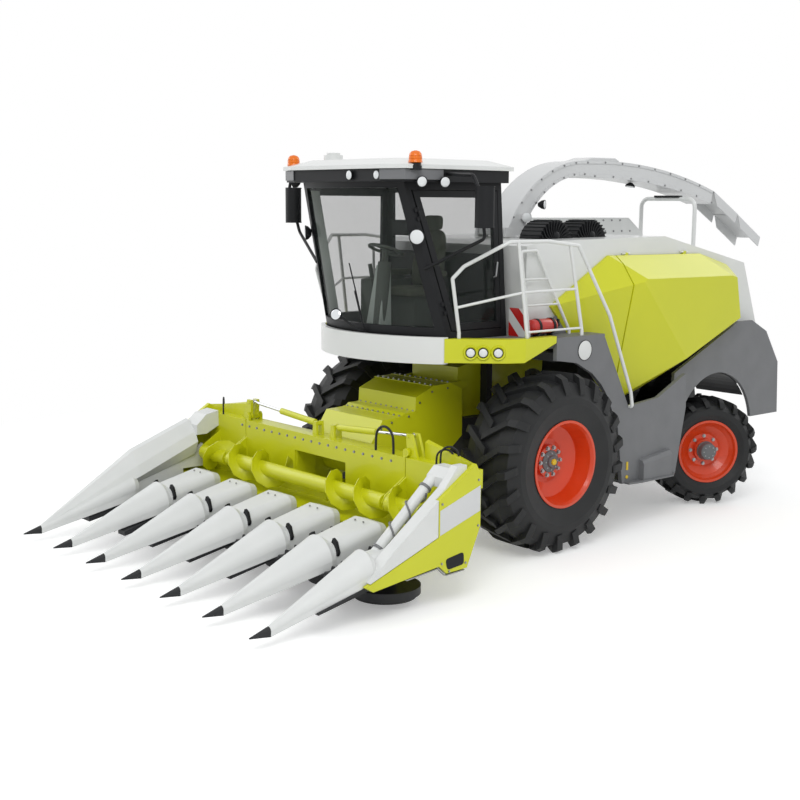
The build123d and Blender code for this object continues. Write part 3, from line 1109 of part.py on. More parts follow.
with BuildPart() as rows_left:
    row_deck(WING_ROW + SLOT, 2190, WING_SNOUT - 5)
    row_deck(2 * ROW_PITCH + 240, WING_ROW - SLOT)
    for hand in (-1, 1):
        gathering_chain(WING_ROW, hand)
    block((2 * ROW_PITCH + 240, TROUGH_FRONT - 120, TROUGH_Z - 60), (2190, TROUGH_FRONT, TROUGH_Z - 46))
    row_arm(WING_SNOUT - 60)
    row_tie(WING_ROW - 90, WING_SNOUT - 60)
    tip(WING_SNOUT)
    pan(WING_ROW)
with BuildPart() as wing_frame_right:
    mirror(wing_frame_left.part, about=Plane.YZ)
with BuildPart() as covers_right:
    mirror(high_divider.part, about=Plane.YZ)
with BuildPart() as rows_right:
    mirror(rows_left.part, about=Plane.YZ)

# Fold cylinders on top of the beam, each pinned near the middle and to its wing's lug
FOLD_LEAN = math.degrees(math.atan2(FOLD_EYE_Z - FOLD_CYL_Z, FOLD_EYE_X - FOLD_CYL_IN))


def on_cylinder(share):
    """A point a share of the way from the fold cylinder's pin to its eye."""
    return (
        FOLD_CYL_IN + share * (FOLD_EYE_X - FOLD_CYL_IN),
        FOLD_CYL_Y,
        FOLD_CYL_Z + share * (FOLD_EYE_Z - FOLD_CYL_Z),
    )


EYE_HALF = 26 - RUNNING_GAP
with BuildPart() as fold_barrel_left:
    rod(on_cylinder(0), on_cylinder(0.05), 20)
    rod(on_cylinder(0.045), on_cylinder(0.55), 34)
    rod((FOLD_CYL_IN, FOLD_CYL_Y - EYE_HALF, FOLD_CYL_Z), (FOLD_CYL_IN, FOLD_CYL_Y + EYE_HALF, FOLD_CYL_Z), 24)
    rod((FOLD_CYL_IN, FOLD_CYL_Y - 30, FOLD_CYL_Z), (FOLD_CYL_IN, FOLD_CYL_Y + 30, FOLD_CYL_Z), 14 + RUNNING_GAP, Mode.SUBTRACT)
    rod(on_cylinder(0.06), on_cylinder(0.56), 16 + RUNNING_GAP, Mode.SUBTRACT)
with BuildPart() as fold_rod_left:
    rod(on_cylinder(0.3), on_cylinder(1), 16)
    rod((FOLD_EYE_X, FOLD_CYL_Y - EYE_HALF, FOLD_EYE_Z), (FOLD_EYE_X, FOLD_CYL_Y + EYE_HALF, FOLD_EYE_Z), 24)
with BuildPart() as fold_barrel_right:
    mirror(fold_barrel_left.part, about=Plane.YZ)
with BuildPart() as fold_rod_right:
    mirror(fold_rod_left.part, about=Plane.YZ)

# Feed roller inside the feeder's mouth
with BuildPart() as feed_roller:
    rod((-FEEDER_HALF_W + 38, ROLLER_Y, ROLLER_Z), (FEEDER_HALF_W - 38, ROLLER_Y, ROLLER_Z), 105)
    rod((-FEEDER_HALF_W + 2, ROLLER_Y, ROLLER_Z), (FEEDER_HALF_W - 2, ROLLER_Y, ROLLER_Z), 28)

PIECES = {
    "main_frame": main_frame, "front_axle": front_axle, "rear_axle": rear_axle, "steering_rod": steering_rod,
    "knuckle_left": knuckle_left, "knuckle_right": knuckle_right,
    "front_tyre_left": front_tyre_left, "front_tyre_right": front_tyre_right,
    "front_rim_left": front_rim_left, "front_rim_right": front_rim_right,
    "rear_tyre_left": rear_tyre_left, "rear_tyre_right": rear_tyre_right,
    "rear_rim_left": rear_rim_left, "rear_rim_right": rear_rim_right,
    "engine": engine, "crop_channel": crop_channel, "hood": hood, "air_box": air_box, "air_heads": air_heads,
    "side_flap_left": side_flap_left, "side_flap_right": side_flap_right, "side_noses": side_noses,
    "side_skirts": side_skirts, "rear_guards": rear_guards,
    "lamp_housings": lamp_housings, "lamps": lamps, "apron": apron,
    "cab_frame": cab_frame, "cab_glass": cab_glass, "cab_door": cab_door, "door_glass": door_glass,
    "roof": roof, "cab_seat": cab_seat, "cab_controls": cab_controls,
    "railings": railings, "mirrors": mirrors,
    "turret": turret, "spout": spout, "deflector_near": deflector_near, "deflector_far": deflector_far,
    "feeder_house": feeder_house, "feed_roller": feed_roller, "lift_barrels": lift_barrels, "lift_rods": lift_rods,
    "header_frame": header_frame, "auger": auger, "auger_left": auger_left, "auger_right": auger_right,
    "snouts_centre": snouts_centre, "rows_centre": rows_centre,
    "wing_frame_left": wing_frame_left, "wing_frame_right": wing_frame_right,
    "covers_left": covers_left, "covers_right": covers_right, "rows_left": rows_left, "rows_right": rows_right,
    "fold_barrel_left": fold_barrel_left, "fold_barrel_right": fold_barrel_right,
    "fold_rod_left": fold_rod_left, "fold_rod_right": fold_rod_right,
}
for name, piece in PIECES.items():
    save(piece, name)
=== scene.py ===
import math

import bmesh
import bpy
from mathutils import Matrix, Vector


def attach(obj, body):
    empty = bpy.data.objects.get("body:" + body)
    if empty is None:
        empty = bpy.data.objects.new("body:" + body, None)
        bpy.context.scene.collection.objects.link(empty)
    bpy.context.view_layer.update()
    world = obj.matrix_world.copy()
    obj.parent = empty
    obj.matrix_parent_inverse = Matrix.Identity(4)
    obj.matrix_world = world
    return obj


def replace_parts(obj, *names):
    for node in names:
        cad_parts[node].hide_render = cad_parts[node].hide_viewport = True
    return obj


# Forage harvester with a folding row header, seen from its front left in a white studio.
# Metres, in the machine's own frame: +X is its left, the front faces -Y, Z is up.

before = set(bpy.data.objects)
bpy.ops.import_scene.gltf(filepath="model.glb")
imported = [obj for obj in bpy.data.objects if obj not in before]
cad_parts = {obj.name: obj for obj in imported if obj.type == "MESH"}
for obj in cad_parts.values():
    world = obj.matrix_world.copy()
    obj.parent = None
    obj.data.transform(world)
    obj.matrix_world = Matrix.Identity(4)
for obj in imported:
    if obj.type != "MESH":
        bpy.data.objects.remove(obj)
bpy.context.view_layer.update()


def linear(hex_colour):
    """A paint chart's sRGB hex value as the linear colour that a shader socket takes."""
    parts = [int(hex_colour[i:i + 2], 16) / 255 for i in (1, 3, 5)]
    return (*[p / 12.92 if p <= 0.04045 else ((p + 0.055) / 1.055) ** 2.4 for p in parts], 1)


def add(tree, kind, settings=None, **inputs):
    """Adds one node: settings are its own values, and inputs are socket values or (node, socket) links."""
    node = tree.nodes.new(kind)
    for name, value in (settings or {}).items():
        setattr(node, name, value)
    for name, value in inputs.items():
        key = int(name[1:]) if name[0] == "i" and name[1:].isdigit() else name.replace("_", " ")
        if isinstance(value, tuple) and len(value) == 2 and hasattr(value[0], "outputs"):
            tree.links.new(value[0].outputs[value[1]], node.inputs[key])
        else:
            node.inputs[key].default_value = value
    return node


def new_material(name):
    """An empty material with its surface node, ready to be built up."""
    made = bpy.data.materials.new(name)
    made.use_nodes = True
    made.node_tree.nodes.clear()
    tree = made.node_tree
    surface = add(tree, "ShaderNodeBsdfPrincipled")
    add(tree, "ShaderNodeOutputMaterial", Surface=(surface, "BSDF"))
    return made, tree, surface


EDGE_WEAR = 0.005  # metres over which a sharp edge is seen as slightly rounded


def drift(tree, vary, colour, shade):
    """Two close tones of one colour, mixed by a pattern."""
    tones = {"i6": linear(colour), "i7": linear(shade)}
    return add(tree, "ShaderNodeMix", {"data_type": "RGBA"}, i0=(vary, "Fac"), **tones)


def dress(tree, surface, tint, rough, bump):
    """Links a material's colour, roughness and relief to its surface."""
    tree.links.new(tint.outputs[2], surface.inputs["Base Color"])
    tree.links.new(rough.outputs["Result"], surface.inputs["Roughness"])
    tree.links.new(bump.outputs["Normal"], surface.inputs["Normal"])


def painted(name, colour, shade, roughness, coat, peel_mm, dust):
    """Sprayed enamel on sheet steel: even colour, a clear gloss and the fine orange peel of the gun."""
    made, tree, surface = new_material(name)
    place = add(tree, "ShaderNodeTexCoord")
    cloud = add(tree, "ShaderNodeTexNoise", Vector=(place, "Object"), Scale=1.7, Detail=3.0)
    grime = add(tree, "ShaderNodeTexNoise", Vector=(place, "Object"), Scale=38.0, Detail=5.0)
    rough = add(tree, "ShaderNodeMapRange", Value=(grime, "Fac"), To_Min=roughness, To_Max=roughness + dust)
    peel = add(tree, "ShaderNodeTexNoise", Vector=(place, "Object"), Scale=1000 / peel_mm, Detail=1.0)
    edge = add(tree, "ShaderNodeBevel", {"samples": 4}, Radius=EDGE_WEAR)
    relief = {"Strength": 0.05, "Distance": 0.0006, "Height": (peel, "Fac"), "Normal": (edge, "Normal")}
    dress(tree, surface, drift(tree, cloud, colour, shade), rough, add(tree, "ShaderNodeBump", **relief))
    surface.inputs["Coat Weight"].default_value = coat
    surface.inputs["Coat Roughness"].default_value = 0.06
    return made


def moulded(name, colour, shade, roughness, grain_mm, depth):
    """Moulded plastic or rubber: a grained skin with a little tone drift."""
    made, tree, surface = new_material(name)
    place = add(tree, "ShaderNodeTexCoord")
    cloud = add(tree, "ShaderNodeTexNoise", Vector=(place, "Object"), Scale=4.0, Detail=4.0)
    grain = add(tree, "ShaderNodeTexVoronoi", Vector=(place, "Object"), Scale=1000 / grain_mm)
    edge = add(tree, "ShaderNodeBevel", {"samples": 4}, Radius=EDGE_WEAR)
    relief = {"Strength": 0.35, "Distance": depth, "Height": (grain, "Distance"), "Normal": (edge, "Normal")}
    spread = {"To_Min": roughness - 0.06, "To_Max": roughness + 0.08}
    rough = add(tree, "ShaderNodeMapRange", Value=(cloud, "Fac"), **spread)
    dress(tree, surface, drift(tree, cloud, colour, shade), rough, add(tree, "ShaderNodeBump", **relief))
    return made


def bare_metal(name, colour, shade, roughness, scratch_mm):
    """Bare or plated steel with fine drawn lines."""
    made, tree, surface = new_material(name)
    place = add(tree, "ShaderNodeTexCoord")
    lines = add(tree, "ShaderNodeTexNoise", Vector=(place, "Object"), Scale=1000 / scratch_mm, Detail=2.0)
    spread = {"To_Min": roughness - 0.05, "To_Max": roughness + 0.1}
    rough = add(tree, "ShaderNodeMapRange", Value=(lines, "Fac"), **spread)
    bump = add(tree, "ShaderNodeBump", Strength=0.08, Distance=0.0004, Height=(lines, "Fac"))
    dress(tree, surface, drift(tree, lines, colour, shade), rough, bump)
    surface.inputs["Metallic"].default_value = 1.0
    return made


def glazing(name, colour, alpha, roughness, through=1.0):
    """Toughened glass or a clear lens: tinted, smooth and seen through."""
    made, tree, surface = new_material(name)
    place = add(tree, "ShaderNodeTexCoord")
    smear = add(tree, "ShaderNodeTexNoise", Vector=(place, "Object"), Scale=9.0, Detail=3.0)
    spread = {"To_Min": roughness, "To_Max": roughness + 0.04}
    rough = add(tree, "ShaderNodeMapRange", Value=(smear, "Fac"), **spread)
    tree.links.new(rough.outputs["Result"], surface.inputs["Roughness"])
    surface.inputs["Base Color"].default_value = linear(colour)
    surface.inputs["Transmission Weight"].default_value = through
    surface.inputs["IOR"].default_value = 1.5
    surface.inputs["Alpha"].default_value = alpha
    return made


# Finishes of the real machine, each with what it gives the eye.
# Enamels: name, colour, its second tone, roughness, clear coat, peel in mm, dust
# An acid yellow green with broad soft highlights along the pressed folds
LIME = painted("lime_enamel_on_sheet_steel", "#D2D414", "#C6CA0C", 0.36, 0.22, 3.0, 0.08)
# A cool off-white with a brighter gloss, so the hood reads apart from the paper behind it
WHITE = painted("white_enamel_on_sheet_steel", "#E2E3E1", "#D8DAD8", 0.32, 0.45, 3.0, 0.08)
# A slightly darker, duller grey white that sets the spout off from the hood
SILVER = painted("pale_grey_enamel_spout", "#D6D7D7", "#CBCCCC", 0.36, 0.3, 3.0, 0.1)
# Near black with a thin dusty sheen, so frames and axles recede under the bodywork
CHASSIS = painted("dark_grey_chassis_enamel", "#2B2C2E", "#212224", 0.5, 0.1, 4.0, 0.15)
# A hot orange red that deepens in the dish of the wheel
RIM = painted("orange_red_rim_enamel", "#DE4412", "#CC390D", 0.34, 0.3, 3.0, 0.1)
# The plain film bands: pale and flatter than the lime that they lie on
PALE = painted("pale_plain_film_band", "#D9DADA", "#CFD0D0", 0.4, 0.2, 3.0, 0.05)
# Mid grey rough castings in the middle of the bright rims
CASTING = painted("grey_painted_hub_casting", "#6E7072", "#5E6062", 0.5, 0.1, 2.0, 0.15)
# The one pure red: glossy bottle and board stripes
SIGNAL_RED = painted("signal_red_enamel", "#C8201A", "#B41A15", 0.3, 0.5, 3.0, 0.08)

# Mouldings: name, colour, its second tone, roughness, grain in mm, its depth in metres
# White but matt and faintly pebbled, so snouts look like thick plastic and not like steel
SNOUT_WHITE = moulded("white_rotomoulded_polyethylene", "#E4E5E3", "#D9DBD9", 0.42, 2.2, 0.0003)
# A flat mid grey that carries only wide dull highlights
GREY = moulded("satin_grey_moulded_body_panel", "#7A7B7D", "#6F7072", 0.48, 2.5, 0.0003)
# Dull black with a dry bloom, whose lugs show by their lit edges
RUBBER = moulded("carbon_black_tyre_rubber", "#232425", "#18191A", 0.55, 5.0, 0.0008)
# Deep black with a fine leather grain on frames, lamps and grilles
BLACK = moulded("black_grained_abs", "#17181A", "#202123", 0.42, 3.0, 0.0004)
# The darker of two grey greens inside the cab, soft and without shine
TRIM = moulded("grey_green_cab_trim", "#5D625C", "#50554F", 0.6, 3.0, 0.0005)
# The paler grey green that lights up the pillars and the column
TRIM_PALE = moulded("pale_grey_green_pillar_trim", "#A9B3AB", "#9EA8A0", 0.6, 3.0, 0.0004)
# A grey between the white roof and the black band
VISOR = moulded("grey_moulded_visor", "#77787A", "#6B6C6E", 0.4, 2.5, 0.0003)
# Black with a narrow wet-looking line of light along each bend
HOSE = moulded("black_hydraulic_hose", "#1B1C1D", "#252627", 0.5, 1.5, 0.0002)
# Small warm spots at the hubs and on the skirt
YELLOW = moulded("yellow_moulded_cap", "#E3C322", "#D6B51C", 0.4, 2.0, 0.0002)
# Saturated amber with a coarse faceted glint
AMBER = moulded("amber_moulded_lens", "#F07C0A", "#E36A04", 0.22, 6.0, 0.001)
# Dark red with the same coarse facets
RED_LENS = moulded("red_moulded_lens", "#B3120E", "#9C0E0B", 0.22, 6.0, 0.001)
# Nearly white and strongly faceted, so a lamp sparkles without a light in it
REFLECTOR = moulded("pressed_glass_lamp_face", "#EEF0F0", "#DADDDE", 0.2, 9.0, 0.0025)
# Dry, dark olive and fully matt, with a weave that shows only close up
CLOTH = moulded("woven_olive_seat_cloth", "#5C5F52", "#4E5146", 0.85, 1.5, 0.0006)

# Metals: name, colour, its second tone, roughness, line spacing in mm
# Scuffed grey glints on bolt heads and the skid
STEEL = bare_metal("worn_bright_steel", "#A8A9AA", "#8E8F90", 0.32, 1.6)
# Hard narrow highlights along the rods
CHROME = bare_metal("hard_chromed_rod", "#D5D6D8", "#C4C6C8", 0.12, 1.2)
# A clear picture of the white room
MIRROR = bare_metal("silvered_mirror_glass", "#E2E6E8", "#DCE0E2", 0.06, 1.0)

# Glass: name, colour, how solid it looks, roughness, share that is refracted
# A dark green film with the cab's inside plain behind it
GLASS = glazing("tinted_toughened_glass", "#2A332E", 0.17, 0.0, 0.0)
# A clear cover that brightens where it faces the light
LENS = glazing("clear_lamp_lens", "#F2F4F2", 0.55, 0.05)

# Dark skins throw back less of the white studio than pale ones do
DARK_SHINE = {CHASSIS: 0.3, BLACK: 0.2, HOSE: 0.3, RUBBER: 0.35, GREY: 0.35, TRIM: 0.2, CLOTH: 0.1}
for skin, level in DARK_SHINE.items():
    skin.node_tree.nodes["Principled BSDF"].inputs["Specular IOR Level"].default_value = level

BOTH_SIDES = (
    (CHASSIS, ("knuckle", "rows")), (RUBBER, ("front_tyre", "rear_tyre")), (RIM, ("front_rim", "rear_rim")),
    (LIME, ("side_flap", "auger", "wing_frame", "fold_barrel")),
    (SNOUT_WHITE, ("covers",)), (CHROME, ("fold_rod",)),
)
FINISHES = {
    "main_frame": CHASSIS, "front_axle": CHASSIS, "rear_axle": CHASSIS, "steering_rod": CHROME,
    "engine": CHASSIS, "crop_channel": LIME, "hood": WHITE, "air_box": WHITE, "air_heads": BLACK,
    "side_noses": LIME,
    "side_skirts": GREY, "rear_guards": GREY, "lamp_housings": LIME, "lamps": LENS, "apron": WHITE,
    "cab_frame": BLACK, "cab_glass": GLASS, "cab_door": BLACK, "door_glass": GLASS, "roof": WHITE,
    "cab_seat": TRIM, "cab_controls": TRIM, "railings": WHITE, "mirrors": BLACK,
    "turret": SILVER, "spout": SILVER, "deflector_near": SILVER, "deflector_far": SILVER,
    "feeder_house": LIME, "feed_roller": LIME, "lift_barrels": CHASSIS, "lift_rods": CHROME,
    "header_frame": LIME, "auger": LIME, "snouts_centre": SNOUT_WHITE, "rows_centre": CHASSIS,
}
for skin, stems in BOTH_SIDES:
    FINISHES.update({f"{stem}_{hand}": skin for stem in stems for hand in ("left", "right")})
for node_name, node_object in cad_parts.items():
    node_object.data.materials.clear()
    node_object.data.materials.append(FINISHES[node_name])


# Shapes: every helper takes millimetres, with Y counted from the front axle as on the drawings
AXLE_Y = -650
HANDS = ((1, "left"), (-1, "right"))


def at(x, y, z):
    """A place on the drawings as metres in the frame."""
    return Vector((x, y + AXLE_Y, z)) / 1000


def turned(shape, start, way, profile, sides=32, hollow=False):
    """A form turned on a lathe: profile pairs are the distance along the way and the radius."""
    way = Vector(way).normalized()
    across = way.orthogonal().normalized()
    other = way.cross(across)
    angles = [2 * math.pi * k / sides for k in range(sides)]
    spokes = [across * math.cos(t) + other * math.sin(t) for t in angles]
    rings = []
    for along, radius in profile:
        middle, reach = start + way * along / 1000, radius / 1000
        rings.append([shape.verts.new(middle + spoke * reach) for spoke in spokes])
    pairs = list(zip(rings, rings[1:])) + ([(rings[-1], rings[0])] if hollow else [])
    for low, high in pairs:
        for k in range(sides):
            shape.faces.new((low[k], low[k - 1], high[k - 1], high[k]))
    if not hollow:
        shape.faces.new(rings[0])
        shape.faces.new(rings[-1][::-1])


def skin_between(shape, low, high):
    """Closes two rings of corners into one solid."""
    shape.faces.new(low)
    shape.faces.new(high[::-1])
    for k in range(len(low)):
        shape.faces.new((low[k], low[k - 1], high[k - 1], high[k]))


def plate(shape, corners, thick):
    """A flat plate from its corners and the vector through its thickness."""
    low = [shape.verts.new(corner) for corner in corners]
    skin_between(shape, low, [shape.verts.new(corner + Vector(thick) / 1000) for corner in corners])


def box(shape, low, high):
    """A block between two opposite corners."""
    (x0, y0, z0), (x1, y1, z1) = low, high
    plate(shape, [at(x0, y0, z0), at(x1, y0, z0), at(x1, y1, z0), at(x0, y1, z0)], (0, 0, z1 - z0))


def side_plate(shape, x, outline, thick):
    """A plate that stands fore and aft, from (Y, Z) corners."""
    plate(shape, [at(x, y, z) for y, z in outline], (thick, 0, 0))


def hex_head(shape, place, way, across=24):
    """A hexagon bolt head on its washer."""
    turned(shape, place, way, [(0, 0.72 * across), (3, 0.72 * across)], 14)
    head = [(0, 0.56 * across), (0.5 * across, 0.56 * across)]
    turned(shape, place + Vector(way).normalized() * 0.003, way, head, 6)


def finished(name, shape, finish, body, soften=0):
    """Makes an object of a shape with its finish, rounds its edges and lets it ride on a body."""
    bmesh.ops.recalc_face_normals(shape, faces=shape.faces)
    for face in shape.faces:
        face.smooth = True
    for edge in shape.edges:
        edge.smooth = edge.calc_face_angle(0) < 0.6
    data = bpy.data.meshes.new(name)
    shape.to_mesh(data)
    shape.free()
    piece = bpy.data.objects.new(name, data)
    bpy.context.collection.objects.link(piece)
    data.materials.append(finish)
    if soften:
        round_off = piece.modifiers.new("rounded_edges", "BEVEL")
        round_off.width, round_off.segments, round_off.limit_method = soften / 1000, 3, "ANGLE"
    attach(piece, body)
    return piece


def turned_piece(name, finish, body, start, way, profile, sides=32, soften=0, hollow=False):
    """One lathe-turned piece by itself."""
    shape = bmesh.new()
    turned(shape, start, way, profile, sides, hollow)
    return finished(name, shape, finish, body, soften)


def boxes(name, finish, body, blocks, soften=0):
    """One piece made of blocks, each given by two opposite corners."""
    shape = bmesh.new()
    for low, high in blocks:
        box(shape, low, high)
    return finished(name, shape, finish, body, soften)


def bolt_row(name, body, places, way, across=24, finish=STEEL):
    """Like bolt heads in one piece."""
    shape = bmesh.new()
    for place in places:
        hex_head(shape, place, way, across)
    return finished(name, shape, finish, body)


def spline_object(name, points, radius, finish, body, order=3):
    """A round bar or hose along one smooth open spline."""
    data = bpy.data.curves.new(name, "CURVE")
    data.dimensions, data.use_fill_caps = "3D", True
    data.bevel_depth, data.bevel_resolution = radius / 1000, 4
    line = data.splines.new("NURBS")
    line.points.add(len(points) - 1)
    for point, place in zip(line.points, points):
        point.co = (*at(*place), 1)
    line.order_u, line.use_endpoint_u, line.resolution_u = order, True, 10
    piece = bpy.data.objects.new(name, data)
    bpy.context.collection.objects.link(piece)
    data.materials.append(finish)
    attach(piece, body)
    return piece


def pipe(name, points, radius, finish, body, bend=60):
    """A stiff bent tube: straight runs with a short bend at each corner."""
    route = [Vector(points[0])]
    for before, corner, after in zip(points, points[1:], points[2:]):
        before, corner, after = Vector(before), Vector(corner), Vector(after)
        back, on = before - corner, after - corner
        reach = min(bend, 0.45 * back.length, 0.45 * on.length)
        route += [corner + back.normalized() * reach, corner, corner + on.normalized() * reach]
    route.append(Vector(points[-1]))
    return spline_object(name, route, radius, finish, body)


def blended(a, b, share):
    """A place part of the way from one place to another, in drawing millimetres."""
    return tuple(p + share * (q - p) for p, q in zip(a, b))


# Wheels: hub covers, studs and nuts, caps
REST_STEER = math.radians(-29)
KINGPIN_X, KINGPIN_Y, REAR_HUB_Z = 940, 3150, 650
FRONT_BOSS_X, FRONT_HUB_Z = 1445, 935
REAR_DRUM_OUT = 0.304
FRONT_CAP = [(0, 34), (14, 32), (20, 24)]
FRONT_COVER = [(0, 118), (10, 116), (16, 106), (22, 66), (44, 60), (50, 50)]
REAR_DRUM = [(0, 112), (14, 112), (20, 104), (96, 98), (106, 88), (112, 60)]


def circle_of(middle, flat, radius, count):
    """Places round a circle that stands upright, flat being its level direction."""
    turns = [math.tau * k / count for k in range(count)]
    return [middle + (flat * math.cos(t) + Vector((0, 0, math.sin(t)))) * radius for t in turns]


for side, hand in HANDS:
    out = Vector((side, 0, 0))
    ahead = Vector((0, 1, 0))
    boss = at(side * FRONT_BOSS_X, 0, FRONT_HUB_Z)
    wheel = f"front_wheel_{hand}"
    turned_piece(f"front_hub_cover_{hand}", CASTING, wheel, boss, out, FRONT_COVER, 40, 2)
    turned_piece(f"front_hub_cap_{hand}", YELLOW, wheel, boss + out * 0.050, out, FRONT_CAP, 28)
    bolt_row(f"front_wheel_nuts_{hand}", wheel, circle_of(boss, ahead, 0.146, 10), out, 34)
    bolt_row(f"front_hub_screws_{hand}", wheel, circle_of(boss + out * 0.016, ahead, 0.086, 8), out, 15)

    way = Vector((side * math.cos(REST_STEER), side * math.sin(REST_STEER), 0))
    flat = Vector((-way.y, way.x, 0))
    face = at(side * KINGPIN_X, KINGPIN_Y, REAR_HUB_Z) + way * REAR_DRUM_OUT
    wheel = f"rear_wheel_{hand}"
    turned_piece(f"rear_hub_drum_{hand}", CASTING, wheel, face, way, REAR_DRUM, 40, 2)
    bolt_row(f"rear_wheel_nuts_{hand}", wheel, circle_of(face - way * 0.052, flat, 0.168, 8), way, 30)
    bolt_row(f"rear_hub_screws_{hand}", wheel, circle_of(face + way * 0.106, flat, 0.066, 8), way, 14)


# Lamps: the face's curve is the distance along the lamp and the share of its radius
FACE_CURVE = ((0, 0.97), (4, 0.97), (10, 0.8), (13, 0.5), (14, 0.1))


def round_lamp(name, place, way, radius, body, depth=60, bowl=BLACK, face=REFLECTOR):
    """A round lamp: a bowl behind, a rim round it and a domed, faceted face."""
    way = Vector(way).normalized()
    cup = [
        (-depth, 0.45 * radius), (-0.45 * depth, 0.95 * radius), (0, 1.1 * radius), (8, 1.1 * radius),
        (8, 0.98 * radius), (2, 0.94 * radius), (-0.4 * depth, 0.2 * radius),
    ]
    turned_piece(f"{name}_bowl", bowl, body, place, way, cup)
    dish = [(along, share * radius) for along, share in FACE_CURVE]
    return turned_piece(f"{name}_face", face, body, place, way, dish)


HOUSING_CORNER, HOUSING_RUN = (1000, -1100), (420, 460)
SCOOP_SHARES, SCOOP_Z, SIDE_LAMPS_Y = (0.42, 0.62, 0.86), 2105, (-1445, -1145)
SCOOP = [(0.5, 78), (14, 74), (24, 66), (22, 60), (6, 47), (0.5, 46)]
BEACON_X, BEACON_Y, BEACON_Z = 985, -1490, 3880
BEACON_BASE = [(0, 62), (38, 62), (44, 56), (66, 54), (70, 48)]
BEACON_DOME = [
    (0, 64), (6, 70), (14, 66), (30, 65), (34, 61), (38, 65),
    (58, 64), (62, 60), (66, 63), (88, 56), (106, 40), (115, 10),
]
TAIL_LAMP = ((1015, 4309, 1500), (1185, 4309, 1500), (1185, 4318, 1424), (1015, 4318, 1424))
for side, hand in HANDS:
    # Three round lamps in scoops of the lime housing at each front corner
    out = Vector((side * 460, -420, 0)).normalized()
    for k, share in enumerate(SCOOP_SHARES):
        x, y = (corner + share * run for corner, run in zip(HOUSING_CORNER, HOUSING_RUN))
        place = at(side * x, y, SCOOP_Z)
        turned_piece(f"lamp_scoop_{hand}_{k}", LIME, "machine", place, out, SCOOP, 40, hollow=True)
        lamp_face = round_lamp(f"corner_lamp_{hand}_{k}", place + out * 0.010, out, 44, "machine", 8)
        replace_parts(lamp_face, "lamps")
    # Beacons on the roof's corners
    foot, crest = at(side * BEACON_X, BEACON_Y, BEACON_Z), at(side * BEACON_X, BEACON_Y, BEACON_Z + 69)
    turned_piece(f"beacon_base_{hand}", BLACK, "machine", foot, (0, 0, 1), BEACON_BASE, 32, 1)
    dome = turned_piece(f"beacon_dome_{hand}", AMBER, "machine", crest, (0, 0, 1), BEACON_DOME, 36)
    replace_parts(dome, "lamps")
    # Work lamps under the side of the roof band
    for k, y in enumerate(SIDE_LAMPS_Y):
        round_lamp(f"side_lamp_{hand}_{k}", at(side * 1030, y, 3772), (side, -0.35, -0.1), 50, "machine")
    # Tail lamps on the rear panel
    tail = bmesh.new()
    plate(tail, [at(side * x, y, z) for x, y, z in TAIL_LAMP], (0, 22, 2))
    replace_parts(finished(f"tail_lamp_{hand}", tail, RED_LENS, "machine", 4), "lamps")
BAND_LAMPS = (((250, -1712, 3836), 0), ((640, -1682, 3836), 0.05))
for k, (place, toe_out) in enumerate(BAND_LAMPS):
    lamp_face = round_lamp(f"band_lamp_{k}", at(*place), (toe_out, -1, 0), 46, "machine", 20)
    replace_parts(lamp_face, "lamps")

# Cab: the bowed windscreen's surface, wiper, small mirror, pillar lamps, visor and door handle
CAB_SILL, CAB_TOP = 2270, 3775


def on_screen(x, z, off=0):
    """A place on the bowed windscreen, or a little in front of it."""
    share = (z - CAB_SILL) / (CAB_TOP - CAB_SILL)
    half, edge_y, nose_y = 980 - 165 * share, -1060 - 430 * share, -1400 - 240 * share
    rise = edge_y - nose_y
    radius = (half * half + rise * rise) / (2 * rise)
    middle = nose_y + radius
    y = middle - math.sqrt(radius * radius - x * x)
    return (x + off * x / radius, y + off * (y - middle) / radius, z)


SCREEN_RODS = (
    # name, places as X, Z and distance off the glass, radius, bend
    ("wiper_arm", ((150, 2262, 12), (140, 2310, 42), (60, 2680, 26)), 8, 30),
    ("wiper_blade", ((104, 2380, 12), (60, 2680, 12), (10, 2960, 12)), 7, 30),
    ("low_mirror_arm", ((120, 2262, 10), (40, 2290, 60), (-90, 2420, 150)), 11, 40),
)
for name, places, radius, bend in SCREEN_RODS:
    pipe(name, [on_screen(*place) for place in places], radius, BLACK, "machine", bend)
low_mirror = at(*on_screen(-110, 2430, 170))
round_lamp("low_mirror", low_mirror, (0.5, -1, 0.35), 58, "machine", 40, BLACK, MIRROR)

